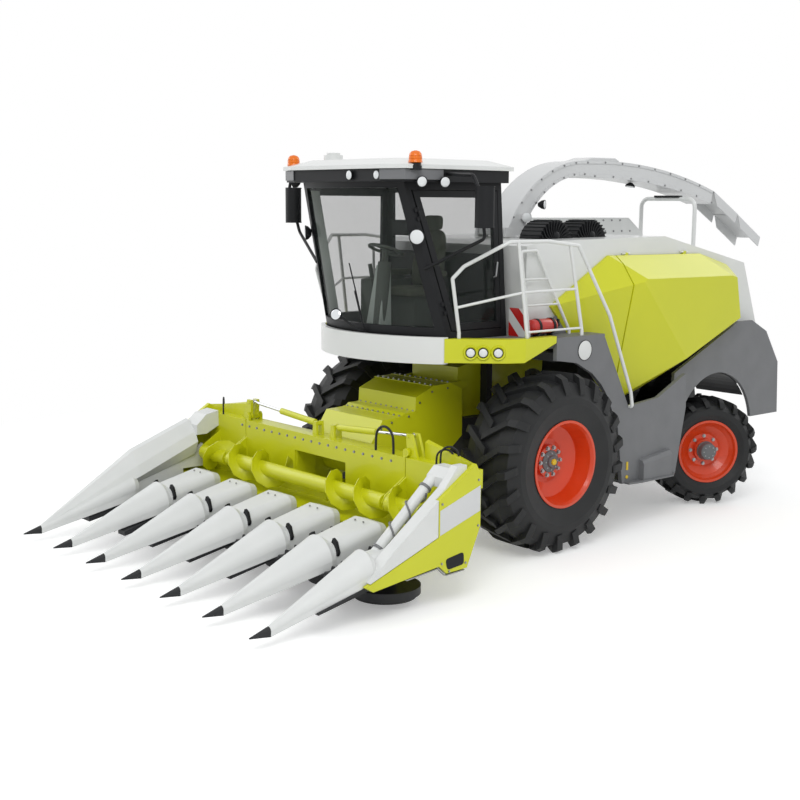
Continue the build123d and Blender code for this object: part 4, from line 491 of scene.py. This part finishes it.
VISOR_PLAN = [
    (700, -1692), (960, -1602), (992, -1400), (984, -1130),
    (992, -1130), (1002, -1402), (968, -1611), (702, -1703),
]
MIRROR_X, MIRROR_HALF, MIRROR_BACK = 1534, 88, -1061.8
MIRROR_LOW, MIRROR_HIGH, MIRROR_CAPS = 3362, 3712, (3348, 3722)
CAP_PLAN = ((-107, -1083), (-79, -1152), (0, -1188), (79, -1152), (107, -1083), (102, -1058), (-102, -1058))
for side, hand in HANDS:
    corner = at(side * 905, -1392, 3245)
    round_lamp(f"pillar_lamp_{hand}", corner, (side * 0.7, -1, -0.05), 72, "machine")
    # Grey visor round the front corner of the roof band
    visor = bmesh.new()
    plate(visor, [at(side * x, y, 3792) for x, y in VISOR_PLAN], (0, 0, 100))
    finished(f"corner_visor_{hand}", visor, VISOR, "machine", 4)
    # Silvered glass in the rear face of each outside mirror, and its two end caps
    glass = bmesh.new()
    low_x, high_x = MIRROR_X - MIRROR_HALF, MIRROR_X + MIRROR_HALF
    pane = ((low_x, MIRROR_LOW), (high_x, MIRROR_LOW), (high_x, MIRROR_HIGH), (low_x, MIRROR_HIGH))
    plate(glass, [at(side * x, MIRROR_BACK, z) for x, z in pane], (0, 2.5, 0))
    finished(f"mirror_glass_{hand}", glass, MIRROR, "machine")
    for z in MIRROR_CAPS:
        end_cap = bmesh.new()
        plate(end_cap, [at(side * (MIRROR_X + x), y, z - 6) for x, y in CAP_PLAN], (0, 0, 12))
        finished(f"mirror_cap_{hand}_{z}", end_cap, BLACK, "machine", 3)
boxes("door_handle_plate", BLACK, "door", [((962, -395, 2900), (972, -345, 3010))], 3)
HANDLE_ROUTE = [(970, -372, 2985), (1002, -380, 2975), (1004, -400, 2840), (972, -398, 2825)]
pipe("door_handle", HANDLE_ROUTE, 9, STEEL, "door", 20)
# Pale linings inside the front pillars
PILLAR_LINING = ((914, -1060, 2330), (912, -935, 2330), (756, -1330, 3690), (752, -1455, 3690))
for side, hand in HANDS:
    lining = bmesh.new()
    plate(lining, [at(side * x, y, z) for x, y, z in PILLAR_LINING], (-side * 14, 0, 0))
    finished(f"pillar_lining_{hand}", lining, TRIM_PALE, "machine", 3)

# Deck: fire extinguisher in its straps, striped board and the grey corner plate
BOTTLE_X, BOTTLE_Y, BOTTLE_Z, DECK_TOP = 1250, -150, 2322, 2220.5
BOTTLE = [(0, 30), (4, 52), (18, 72), (34, 78), (330, 78), (352, 70), (368, 46), (372, 30), (400, 28)]
STRAP = [(0, 84), (34, 84), (34, 79), (0, 79)]
foot = at(BOTTLE_X, BOTTLE_Y, BOTTLE_Z)
turned_piece("extinguisher_bottle", SIGNAL_RED, "machine", foot, (0, 1, 0), BOTTLE, 36, 1)
for k, along in enumerate((75, 285)):
    strap = bmesh.new()
    y = BOTTLE_Y + along
    turned(strap, at(BOTTLE_X, y, BOTTLE_Z), (0, 1, 0), STRAP, 36, hollow=True)
    box(strap, (BOTTLE_X - 30, y + 4, DECK_TOP), (BOTTLE_X + 30, y + 30, 2250))
    finished(f"extinguisher_strap_{k}", strap, BLACK, "machine")
valve = bmesh.new()
turned(valve, at(BOTTLE_X, BOTTLE_Y + 400, BOTTLE_Z), (0, 1, 0), [(0, 20), (30, 20), (34, 12), (46, 12)], 16)
box(valve, (BOTTLE_X - 12, BOTTLE_Y + 417, BOTTLE_Z), (BOTTLE_X + 12, BOTTLE_Y + 440, BOTTLE_Z + 63))
finished("extinguisher_valve", valve, BLACK, "machine", 2)

BOARD_X, BOARD_Y, BOARD_Z, BOARD_W, BOARD_H = 1015, -215, 2222, 230, 290
boxes("striped_board", WHITE, "machine", [
    ((BOARD_X, BOARD_Y, BOARD_Z), (BOARD_X + BOARD_W, BOARD_Y + 3, BOARD_Z + BOARD_H)),
    ((BOARD_X + 40, BOARD_Y + 3, DECK_TOP), (BOARD_X + 70, BOARD_Y + 9, BOARD_Z + 120)),
])
STRIPE_H, STRIPE_STEPS = 140, 24
stripes = bmesh.new()
for low in (-270, 10, 290):
    # Each red stripe runs down to the right at 45 degrees and ends at the board's edges
    lower, upper = [], []
    for k in range(STRIPE_STEPS + 1):
        u = BOARD_W * k / STRIPE_STEPS
        v, w = (max(0, min(BOARD_H, edge - u)) for edge in (low, low + STRIPE_H))
        if w - v > 1:
            lower.append((u, v))
            upper.append((u, w))
    if len(lower) > 1:
        outline = lower + upper[::-1]
        plate(stripes, [at(BOARD_X + u, BOARD_Y - 1.2, BOARD_Z + v) for u, v in outline], (0, 1.1, 0))
finished("board_red_stripes", stripes, SIGNAL_RED, "machine")
corner_plate = bmesh.new()
side_plate(corner_plate, 1160, [(150, DECK_TOP), (640, DECK_TOP), (640, 2470), (560, 2500), (150, 2330)], 4)
finished("deck_corner_plate", corner_plate, VISOR, "machine")

# Skirt: blank round disc in its rim, and two small side markers
DISC_PLACE, SKIRT_X = at(1491, 438, 2066), 1490.5
DISC = [(0, 103), (2.5, 103), (3.5, 101)]
turned_piece("plain_white_disc", WHITE, "machine", DISC_PLACE, (1, 0, 0), DISC, 64)
DISC_RIM = [(0, 108), (4.5, 108), (4.5, 102), (0, 102)]
turned_piece("disc_rim", BLACK, "machine", DISC_PLACE, (1, 0, 0), DISC_RIM, 64, hollow=True)
boxes("side_marker_0", YELLOW, "machine", [((SKIRT_X, 1175, 694), (SKIRT_X + 6.5, 1205, 784))])
ROUND_MARKER = [(0, 20), (7, 20), (9, 16)]
turned_piece("side_marker_1", YELLOW, "machine", at(SKIRT_X, 1190, 615), (1, 0, 0), ROUND_MARKER, 28)

# Hood: hoop pad, knobs of the side flaps' latches and small bolts
boxes("hoop_rest_pad", BLACK, "machine", [((-190, 3600, 3656), (190, 3690, 3682))], 4)
KNOB = [(-70, 20), (0, 20), (0, 30), (16, 30), (20, 24)]
for side, hand in HANDS:
    for k, (x, y, z) in enumerate(((1330, 2480, 1985), (1310, 3200, 2330))):
        way = (side, 0.1, -0.6)
        turned_piece(f"flap_knob_{hand}_{k}", BLACK, f"side_flap_{hand}", at(side * x, y, z), way, KNOB, 20)
AIR_BOX_X = -299.5
AIR_BOX_ROWS = (
    ("air_box_bolts", range(1800, 3240, 160), 3370),
    ("air_box_bolts_low", range(2000, 3400, 160), 3235),
)
for name, rows_y, z in AIR_BOX_ROWS:
    bolt_row(name, "machine", [at(AIR_BOX_X, y, z) for y in rows_y], (1, 0, 0), 18)

# Air-cleaner heads: curved fins over the ends and ribs across the crown
HEADS_Y, HEAD_Z, HEAD_FACE_X, FIN_COUNT = (780, 1360), 3130, 720.5, 15


def round_head(x, head_y, polar):
    """Places round a head's axis from (radius, angle) pairs."""
    return [at(x, head_y - r * math.cos(t), HEAD_Z + r * math.sin(t)) for r, t in polar]


for head, head_y in enumerate(HEADS_Y):
    fins = bmesh.new()
    for k in range(FIN_COUNT):
        angle = math.radians(8 + 164 * k / (FIN_COUNT - 1))
        path = [(52 + 42 * j, angle + 0.055 * j * j / 5) for j in range(6)]
        for (r0, t0), (r1, t1) in zip(path, path[1:]):
            wide0, wide1 = 5 / r0, 6 / r1
            corners = [(r0, t0 - wide0), (r0, t0 + wide0), (r1, t1 + wide1), (r1, t1 - wide1)]
            plate(fins, round_head(HEAD_FACE_X, head_y, corners), (26, 0, 0))
        tip = angle + 0.055 * 5
        crown = [(248, tip - 0.022), (248, tip + 0.022), (268, tip + 0.02), (268, tip - 0.02)]
        if 0.13 < tip < 3.0:
            plate(fins, round_head(424, head_y, crown), (320, 0, 0))
    finished(f"air_head_fins_{head}", fins, BLACK, "machine")
    middle = at(HEAD_FACE_X, head_y, HEAD_Z + 98)
    boss = [(0, 46), (24, 44), (34, 30), (38, 10)]
    turned_piece(f"air_head_cap_{head}", BLACK, "machine", middle, (1, 0, 0), boss, 28)


# Spout: flanges with bolts along both edges, cap on the bend and work lamps at its foot
def arc(a, b, c, count):
    """Points along the circle through three points of a plane."""
    (ax, ay), (bx, by), (cx, cy) = a, b, c
    d = 2 * (ax * (by - cy) + bx * (cy - ay) + cx * (ay - by))
    aa, bb, cc = ax * ax + ay * ay, bx * bx + by * by, cx * cx + cy * cy
    ux = (aa * (by - cy) + bb * (cy - ay) + cc * (ay - by)) / d
    uy = (aa * (cx - bx) + bb * (ax - cx) + cc * (bx - ax)) / d
    first, last = (math.atan2(p[1] - uy, p[0] - ux) for p in (a, c))
    way = 1 if ((bx - ax) * (cy - ay) - (by - ay) * (cx - ax)) > 0 else -1
    sweep = (way * (last - first)) % math.tau
    reach = math.hypot(ax - ux, ay - uy)
    turns = [first + way * sweep * k / count for k in range(count + 1)]
    return [(ux + reach * math.cos(t), uy + reach * math.sin(t)) for t in turns]


def edge_strip(shape, line, inward, x, thick):
    """A flange that follows an edge of the duct: from the edge inwards, on the duct's side."""
    for (y0, z0), (y1, z1) in zip(line, line[1:]):
        run = Vector((y1 - y0, z1 - z0)).normalized()
        nudge = Vector((-run.y, run.x)) * inward
        corners = [(y0, z0), (y1, z1), (y1 + nudge.x, z1 + nudge.y), (y0 + nudge.x, z0 + nudge.y)]
        plate(shape, [at(x, y, z) for y, z in corners], (thick, 0, 0))


SPOUT_X, FLANGE_H, FLANGE_T = 192, 34, 7
crown_line = arc((560, 3260), (985, 3785), (1870, 4065), 16)
crown_line += arc((1870, 4065), (2900, 4035), (4320, 3745), 16)[1:]
belly_line = arc((4285, 3580), (2900, 3835), (2000, 3875), 14)
belly_line += arc((2000, 3875), (1160, 3690), (815, 3260), 16)[1:]
belly_line.reverse()
flanges = bmesh.new()
for side, _ in HANDS:
    edge_strip(flanges, crown_line, -FLANGE_H, side * (SPOUT_X + 0.3), side * FLANGE_T)
    edge_strip(flanges, belly_line, FLANGE_H, side * (SPOUT_X + 0.3), side * FLANGE_T)
bmesh.ops.remove_doubles(flanges, verts=flanges.verts, dist=0.0005)
finished("spout_flanges", flanges, SILVER, "spout")
for side, hand in HANDS:
    bolt_line = [(y, z - 18) for y, z in crown_line[2::2]] + [(y, z + 18) for y, z in belly_line[2::2]]
    places = [at(side * (SPOUT_X + FLANGE_T + 0.5), y, z) for y, z in bolt_line]
    bolt_row(f"spout_bolts_{hand}", "spout", places, (side, 0, 0), 17)
cap = bmesh.new()
side_plate(cap, -150, [(1500, 3985), (2020, 4110), (2420, 4112), (2500, 4075), (1560, 3960)], 300)
finished("spout_top_cap", cap, SILVER, "spout", 8)
round_lamp("spout_lamp_low", at(SPOUT_X + 70, 800, 3420), (1, -0.55, 0), 52, "spout", 80, SILVER)
round_lamp("spout_lamp_high", at(SPOUT_X + 70, 1080, 3560), (1, 0.5, 0), 48, "spout", 70)
boxes("spout_lamp_brackets", SILVER, "spout", [
    ((SPOUT_X - 2, 770, 3395), (SPOUT_X + 50, 830, 3445)),
    ((SPOUT_X - 2, 1050, 3540), (SPOUT_X + 50, 1100, 3580)),
], 4)
round_lamp("spout_arch_lamp", at(0, 2890, 3790), (0, -0.2, -1), 55, "spout", 40)

# Feeder: overlapped plates with their bolt rows
FEEDER_X, BOLTS_X = 470, range(-430, 431, 86)
SEAMS = ((-1196, 1396), (-1008, 1431), (-762, 1681), (-522, 1691))
FEEDER_EDGE = [
    (-1600, 640), (-1600, 800), (-1600, 960), (-1470, 1300), (-1330, 1350),
    (-1100, 1390), (-950, 1520), (-780, 1620), (-560, 1640),
]
seams = bmesh.new()
for y, z in SEAMS:
    box(seams, (-FEEDER_X, y - 30, z - 2), (FEEDER_X, y + 30, z + 3.5))
nose_x = FEEDER_X + 2
nose_strip = ((-nose_x, -1640, 1098), (nose_x, -1640, 1098), (nose_x, -1595, 1169), (-nose_x, -1595, 1169))
plate(seams, [at(*corner) for corner in nose_strip], (0, -3, 3))
finished("feeder_seam_straps", seams, LIME, "feeder", 1)
for k, (y, z) in enumerate(SEAMS):
    bolt_row(f"feeder_bolts_{k}", "feeder", [at(x, y, z + 3.5) for x in BOLTS_X], (0, 0, 1), 19)
bolt_row("feeder_nose_bolts", "feeder", [at(x, -1618, 1137) for x in BOLTS_X], (0, -0.84, 0.54), 19)
for side, _ in HANDS:
    places = [at(side * (FEEDER_X + 0.3), y, z) for y, z in FEEDER_EDGE]
    bolt_row(f"feeder_side_bolts_{side}", "feeder", places, (side, 0, 0), 17)


# Header: plain pale band, window and screws on the end plates, spiral and clamp on the guide tube
def rounded(points, reach):
    """An outline with each corner eased by a short arc of four steps."""
    made = []
    for k, corner in enumerate(points):
        corner = Vector(corner)
        back, on = Vector(points[k - 1]) - corner, Vector(points[(k + 1) % len(points)]) - corner
        a, b = corner + back.normalized() * reach, corner + on.normalized() * reach
        for t in (0, 0.25, 0.5, 0.75, 1):
            made.append(tuple((1 - t) ** 2 * a + 2 * t * (1 - t) * corner + t * t * b))
    return made


PANEL_OUT = 2240
WINDOW = [(-2195, 452), (-1975, 486), (-1968, 372), (-2172, 350)]
PLATE_SCREWS = [(-2240, 960), (-2240, 420), (-1800, 700), (-1800, 1120), (-1950, 380), (-2150, 335)]
band = bmesh.new()
side_plate(band, PANEL_OUT + 0.2, [(-2264, 902), (-1775, 1068), (-1775, 834), (-2264, 676)], 1.2)
finished("end_plate_pale_band", band, PALE, "wing_left")
window = bmesh.new()
side_plate(window, PANEL_OUT + 0.2, rounded(WINDOW, 34), 3)
finished("end_plate_window", window, BLACK, "wing_left", 1)
for side, hand in HANDS:
    places = [at(side * (PANEL_OUT + 0.2), y, z) for y, z in PLATE_SCREWS]
    bolt_row(f"end_plate_screws_{hand}", f"wing_{hand}", places, (side, 0, 0), 16)

TUBE_HIGH, TUBE_LOW = (1945, -2090, 1130), (1945, -2760, 545)
COIL_R, COIL_TURNS, COIL_STEPS, COIL_FROM, COIL_SPAN = 64, 2, 28, 0.20, 0.56
spiral = []
for k in range(COIL_STEPS + 1):
    turn = math.tau * COIL_TURNS * k / COIL_STEPS
    x, y, z = blended(TUBE_HIGH, TUBE_LOW, COIL_FROM + COIL_SPAN * k / COIL_STEPS)
    lift = COIL_R * math.sin(turn)
    spiral.append((x + COIL_R * math.cos(turn), y + 0.66 * lift, z - 0.75 * lift))
spline_object("guide_tube_spiral", spiral, 9, VISOR, "wing_left")
CLAMP = [(0, 60), (26, 60), (26, 51), (0, 51)]
tube_way = Vector(TUBE_LOW) - Vector(TUBE_HIGH)
for k, share in enumerate((0.12, 0.93)):
    place = at(*blended(TUBE_HIGH, TUBE_LOW, share))
    turned_piece(f"guide_tube_clamp_{k}", VISOR, "wing_left", place, tube_way, CLAMP, 36, 1, hollow=True)

ROW_PITCH, SNOUT_REAR_Y, HOOD_SCREW = 700, -2926, (60, -2500, 684)
FLAP = ((120, 560), (214, 470), (232, 505), (196, 600), (150, 626))
for x in [ROW_PITCH * k for k in (-2, -1, 0, 1, 2)]:
    flaps, screws = bmesh.new(), bmesh.new()
    for side, _ in HANDS:
        plate(flaps, [at(x + side * a, SNOUT_REAR_Y, z) for a, z in FLAP], (0, 30, 0))
        hex_head(screws, at(x + side * HOOD_SCREW[0], *HOOD_SCREW[1:]), (0, 0, 1), 14)
    finished(f"snout_flaps_{x}", flaps, BLACK, "feeder", 2)
    finished(f"hood_screws_{x}", screws, STEEL, "feeder")
beam_bolts = [at(x, -2000.5, 1165) for x in range(-1260, 1261, 140)]
bolt_row("beam_bolts", "feeder", beam_bolts, (0, -1, 0), 20)


# Cab inside: seat pads, dark rear lining, monitor and the column's cover
def eased(value, square):
    """A cosine or sine pressed towards 1, which squares a round form up."""
    return math.copysign(abs(value) ** square, value)


def pad_piece(name, middle, half, lean=0.0, taper=0.0, ribs=0, square=0.45):
    """A stuffed cloth pad: rounded all round, leaned back, narrowed upwards and drawn in along its seams."""
    shape = bmesh.new()
    levels, around = 30, 56
    rings = []
    for i in range(1, levels):
        rise = math.pi * (i / levels - 0.5)
        out, up = eased(math.cos(rise), square), eased(math.sin(rise), square)
        seam = 1 - 0.10 * abs(math.cos(ribs * math.pi * (up + 1) / 2)) ** 8 if ribs else 1
        ring = []
        for k in range(around):
            turn = math.tau * k / around
            x = half[0] * out * eased(math.cos(turn), square) * (1 - taper * (up + 1) / 2)
            y = half[1] * out * eased(math.sin(turn), square) * seam
            z = half[2] * up
            ring.append(shape.verts.new(at(middle[0] + x, middle[1] + y + lean * z, middle[2] + z)))
        rings.append(ring)
    for low, high in zip(rings, rings[1:]):
        for k in range(around):
            shape.faces.new((low[k - 1], low[k], high[k], high[k - 1]))
    shape.faces.new(rings[0][::-1])
    shape.faces.new(rings[-1])
    piece = finished(name, shape, CLOTH, "machine")
    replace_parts(piece, "cab_seat")
    return piece


pad_piece("seat_back_pad", (0, -418, 2985), (238, 62, 305), 0.14, 0.16, 4)
pad_piece("seat_cushion_pad", (0, -652, 2642), (248, 246, 54), 0, 0.03, 0, 0.35)
pad_piece("seat_head_pad", (0, -368, 3362), (135, 48, 78), 0.1, 0.1)
for side, hand in HANDS:
    pad_piece(f"seat_arm_pad_{hand}", (side * 285, -600, 2832), (36, 170, 34))
boxes("cab_rear_lining", BLACK, "machine", [((-840, -262, 2272), (840, -246, 3050))], 6)
boxes("monitor_case", BLACK, "machine", [((24, -965, 3238), (277, -935, 3397))], 8)
COLUMN_FOOT, COLUMN_FOOT_Z = ((-180, -1180), (80, -1180), (80, -1000), (-180, -1000)), 2151
COLUMN_HEAD, COLUMN_HEAD_Z = ((-90, -1085), (40, -1085), (40, -985), (-90, -985)), 2930
column = bmesh.new()
low_ring = [column.verts.new(at(x, y, COLUMN_FOOT_Z)) for x, y in COLUMN_FOOT]
skin_between(column, low_ring, [column.verts.new(at(x, y, COLUMN_HEAD_Z)) for x, y in COLUMN_HEAD])
finished("steering_column_cover", column, TRIM_PALE, "machine", 14)

# Plates that close the rear wheel wells and follow the guards' arches, coloured black as painted shade for the
# dark inside of the wells
WELL_Y, WELL_Z, WELL_R, WELL_IN, WELL_OUT, WELL_STEPS = 3040, 870, 724, 575, 1255, 24
WELL_FROM, WELL_SWEEP, WELL_T = 34, 146, 6
WELL_WALL = [(2330, 1560), (2330, 2050), (3750, 2050), (3750, 1560)]
well_turns = [math.radians(WELL_FROM + WELL_SWEEP * k / WELL_STEPS) for k in range(WELL_STEPS + 1)]
well_line = [(WELL_Y + WELL_R * math.cos(t), WELL_Z + WELL_R * math.sin(t)) for t in well_turns]
for side, hand in HANDS:
    well = bmesh.new()
    for (y0, z0), (y1, z1) in zip(well_line, well_line[1:]):
        inward = Vector((0, WELL_Y - (y0 + y1) / 2, WELL_Z - (z0 + z1) / 2)).normalized() * WELL_T
        strip = ((WELL_IN, y0, z0), (WELL_OUT, y0, z0), (WELL_OUT, y1, z1), (WELL_IN, y1, z1))
        plate(well, [at(side * x, y, z) for x, y, z in strip], inward)
    bmesh.ops.remove_doubles(well, verts=well.verts, dist=0.0004)
    side_plate(well, side * WELL_IN, WELL_WALL, side * 5)
    # Black here is painted shade for the inside of the well
    finished(f"rear_well_painted_shade_{hand}", well, BLACK, "machine")


HOSES = {
    "header_hose_long": ("feeder", 25, [
        (883, -1880, 1150), (883, -1880, 1317), (901, -1880, 1384), (950, -1880, 1432), (1016, -1880, 1450),
        (1083, -1880, 1432), (1131, -1880, 1384), (1149, -1880, 1317), (1149, -1880, 1150),
    ]),
    "wing_hose_left": ("wing_left", 19, [
        (1820, -1885, 1150), (1820, -1885, 1290), (1829, -1878, 1333), (1855, -1860, 1364),
        (1890, -1835, 1376), (1925, -1810, 1364), (1951, -1792, 1333), (1960, -1785, 1290), (1960, -1785, 1150),
    ]),
    "wing_hose_left_low": ("wing_left", 19, [
        (1765, -1885, 1150), (1765, -1885, 1255), (1774, -1878, 1298), (1800, -1860, 1329),
        (1835, -1835, 1341), (1870, -1810, 1329), (1896, -1792, 1298), (1905, -1785, 1255), (1905, -1785, 1150),
    ]),
    "wing_hose_right": ("wing_right", 19, [
        (-1820, -1885, 1150), (-1820, -1885, 1290), (-1829, -1878, 1333), (-1855, -1860, 1364),
        (-1890, -1835, 1376), (-1925, -1810, 1364), (-1951, -1792, 1333), (-1960, -1785, 1290),
        (-1960, -1785, 1150),
    ]),
}
for name, (body, thick, route) in HOSES.items():
    hose = spline_object(name, route, thick / 2, HOSE, body)

# Header: bright skid under the left end plate
SKID_LINE = [(-1950, 318), (-2180, 306), (-2270, 386), (-2640, 348)]
skid = bmesh.new()
for (y0, z0), (y1, z1) in zip(SKID_LINE, SKID_LINE[1:]):
    side_plate(skid, 2196, [(y0, z0 - 12), (y1, z1 - 12), (y1, z1 - 1), (y0, z0 - 1)], 38)
finished("end_plate_skid", skid, STEEL, "wing_left", 1)

# Ribbed black rack on the hood's top, which falls to the rear from its crown
CROWN_Y, CROWN_Z, HOOD_FALL = 2150, 3215, 0.216
RACK_Y, RACK_STEP, RACK_RIBS, RAIL_LOW = 2590, 72, 9, 330
rack = bmesh.new()
for k in range(RACK_RIBS):
    y = RACK_Y + RACK_STEP * k
    top = CROWN_Z - HOOD_FALL * (y - CROWN_Y)
    box(rack, (RAIL_LOW, y, top - 4), (470, y + 26, top + 60))
for x in (RAIL_LOW, 444):
    plate(rack, [at(x, 2590, 3122), at(x, 3190, 2992), at(x, 3190, 3022), at(x, 2590, 3152)], (26, 0, 0))
finished("hood_ribbed_rack", rack, BLACK, "machine", 3)


# White studio: a floor that melts into the backdrop, with the machine's soft shadow on it
def plainly_seen(tree):
    """One where the camera, a reflection or glass looks straight at a surface, and nought elsewhere."""
    seen = add(tree, "ShaderNodeLightPath")
    most = {"operation": "MAXIMUM"}
    straight = add(tree, "ShaderNodeMath", most, i0=(seen, "Is Camera Ray"), i1=(seen, "Is Transmission Ray"))
    return add(tree, "ShaderNodeMath", most, i0=(straight, "Value"), i1=(seen, "Is Glossy Ray"))


def studio_paper():
    """White paper sweep: lit near the machine, where its shadow falls, and plain white further out."""
    made, tree, surface = new_material("white_studio_paper")
    surface.inputs["Base Color"].default_value = linear("#F4F4F3")
    surface.inputs["Roughness"].default_value = 0.9
    surface.inputs["Specular IOR Level"].default_value = 0.1
    seen = plainly_seen(tree)
    place = add(tree, "ShaderNodeTexCoord")
    reach = add(tree, "ShaderNodeVectorMath", {"operation": "LENGTH"}, i0=(place, "Object"))
    fade = {"From_Min": 5.5, "From_Max": 9.5, "To_Min": 0.0, "To_Max": 1.0}
    away = add(tree, "ShaderNodeMapRange", Value=(reach, "Value"), **fade)
    share = add(tree, "ShaderNodeMath", {"operation": "MULTIPLY"}, i0=(away, "Result"), i1=(seen, "Value"))
    glow = add(tree, "ShaderNodeMath", {"operation": "MULTIPLY"}, i0=(seen, "Value"), i1=0.30)
    lift = add(tree, "ShaderNodeEmission", Strength=(glow, "Value"))
    lit = add(tree, "ShaderNodeAddShader", i0=(surface, "BSDF"), i1=(lift, "Emission"))
    white = add(tree, "ShaderNodeEmission", Strength=1.0)
    both = add(tree, "ShaderNodeMixShader", i0=(share, "Value"), i1=(lit, "Shader"), i2=(white, "Emission"))
    tree.links.new(both.outputs["Shader"], tree.nodes["Material Output"].inputs["Surface"])
    return made


floor_mesh = bmesh.new()
bmesh.ops.create_circle(floor_mesh, cap_ends=True, segments=96, radius=60)
floor_data = bpy.data.meshes.new("studio_floor")
floor_mesh.to_mesh(floor_data)
floor = bpy.data.objects.new("studio_floor", floor_data)
bpy.context.collection.objects.link(floor)
floor.data.materials.append(studio_paper())

world = bpy.data.worlds.new("studio_air")
bpy.context.scene.world = world
world.use_nodes = True
air = world.node_tree
air.nodes.clear()
soft = add(air, "ShaderNodeBackground", Color=linear("#F4F6F8"), Strength=0.68)
paper = add(air, "ShaderNodeBackground", Color=(1, 1, 1, 1), Strength=1.0)
seen = plainly_seen(air)
mixed = add(air, "ShaderNodeMixShader", i0=(seen, "Value"), i1=(soft, "Background"), i2=(paper, "Background"))
add(air, "ShaderNodeOutputWorld", Surface=(mixed, "Shader"))


def soft_box(name, spot, target, size, power):
    """A square studio light that faces a point on the machine."""
    data = bpy.data.lights.new(name, "AREA")
    data.shape = "SQUARE"
    data.size = size
    data.energy = power
    lamp = bpy.data.objects.new(name, data)
    lamp.location = spot
    lamp.rotation_euler = (Vector(target) - Vector(spot)).to_track_quat("-Z", "Y").to_euler()
    bpy.context.collection.objects.link(lamp)


soft_box("key_light", (9, -9, 12), (0, -0.5, 1.5), 7, 820)
soft_box("fill_light", (-11, -6, 8), (0, -1, 1.5), 8, 320)
soft_box("back_light", (2, 12, 10), (0, 1, 2), 8, 330)

# Camera: fitted to the photograph from the row pitch and the wheels
CAMERA_PLACE = Vector((10.301, -10.308, 3.576))
AZIMUTH, TILT_DOWN, ROLL = math.radians(49.602), math.radians(9.293), math.radians(0.383)
LENS_MM, FILM_MM, SHIFT = 57.53, 36, (0.0068, 0.0142)
right = Vector((math.cos(AZIMUTH), math.sin(AZIMUTH), 0))
level_ahead = Vector((-math.sin(AZIMUTH), math.cos(AZIMUTH), 0))
forward = level_ahead * math.cos(TILT_DOWN) - Vector((0, 0, math.sin(TILT_DOWN)))
up = right.cross(forward)
rolled_right = right * math.cos(ROLL) + up * math.sin(ROLL)
rolled_up = up * math.cos(ROLL) - right * math.sin(ROLL)
camera_data = bpy.data.cameras.new("photo_camera")
camera_data.sensor_width = FILM_MM
camera_data.lens = LENS_MM
camera_data.shift_x, camera_data.shift_y = SHIFT
camera = bpy.data.objects.new("photo_camera", camera_data)
facing = Matrix((rolled_right, rolled_up, -forward)).transposed().to_4x4()
camera.matrix_world = Matrix.Translation(CAMERA_PLACE) @ facing
bpy.context.collection.objects.link(camera)
bpy.context.scene.camera = camera
bpy.context.scene.view_settings.view_transform = "Standard"
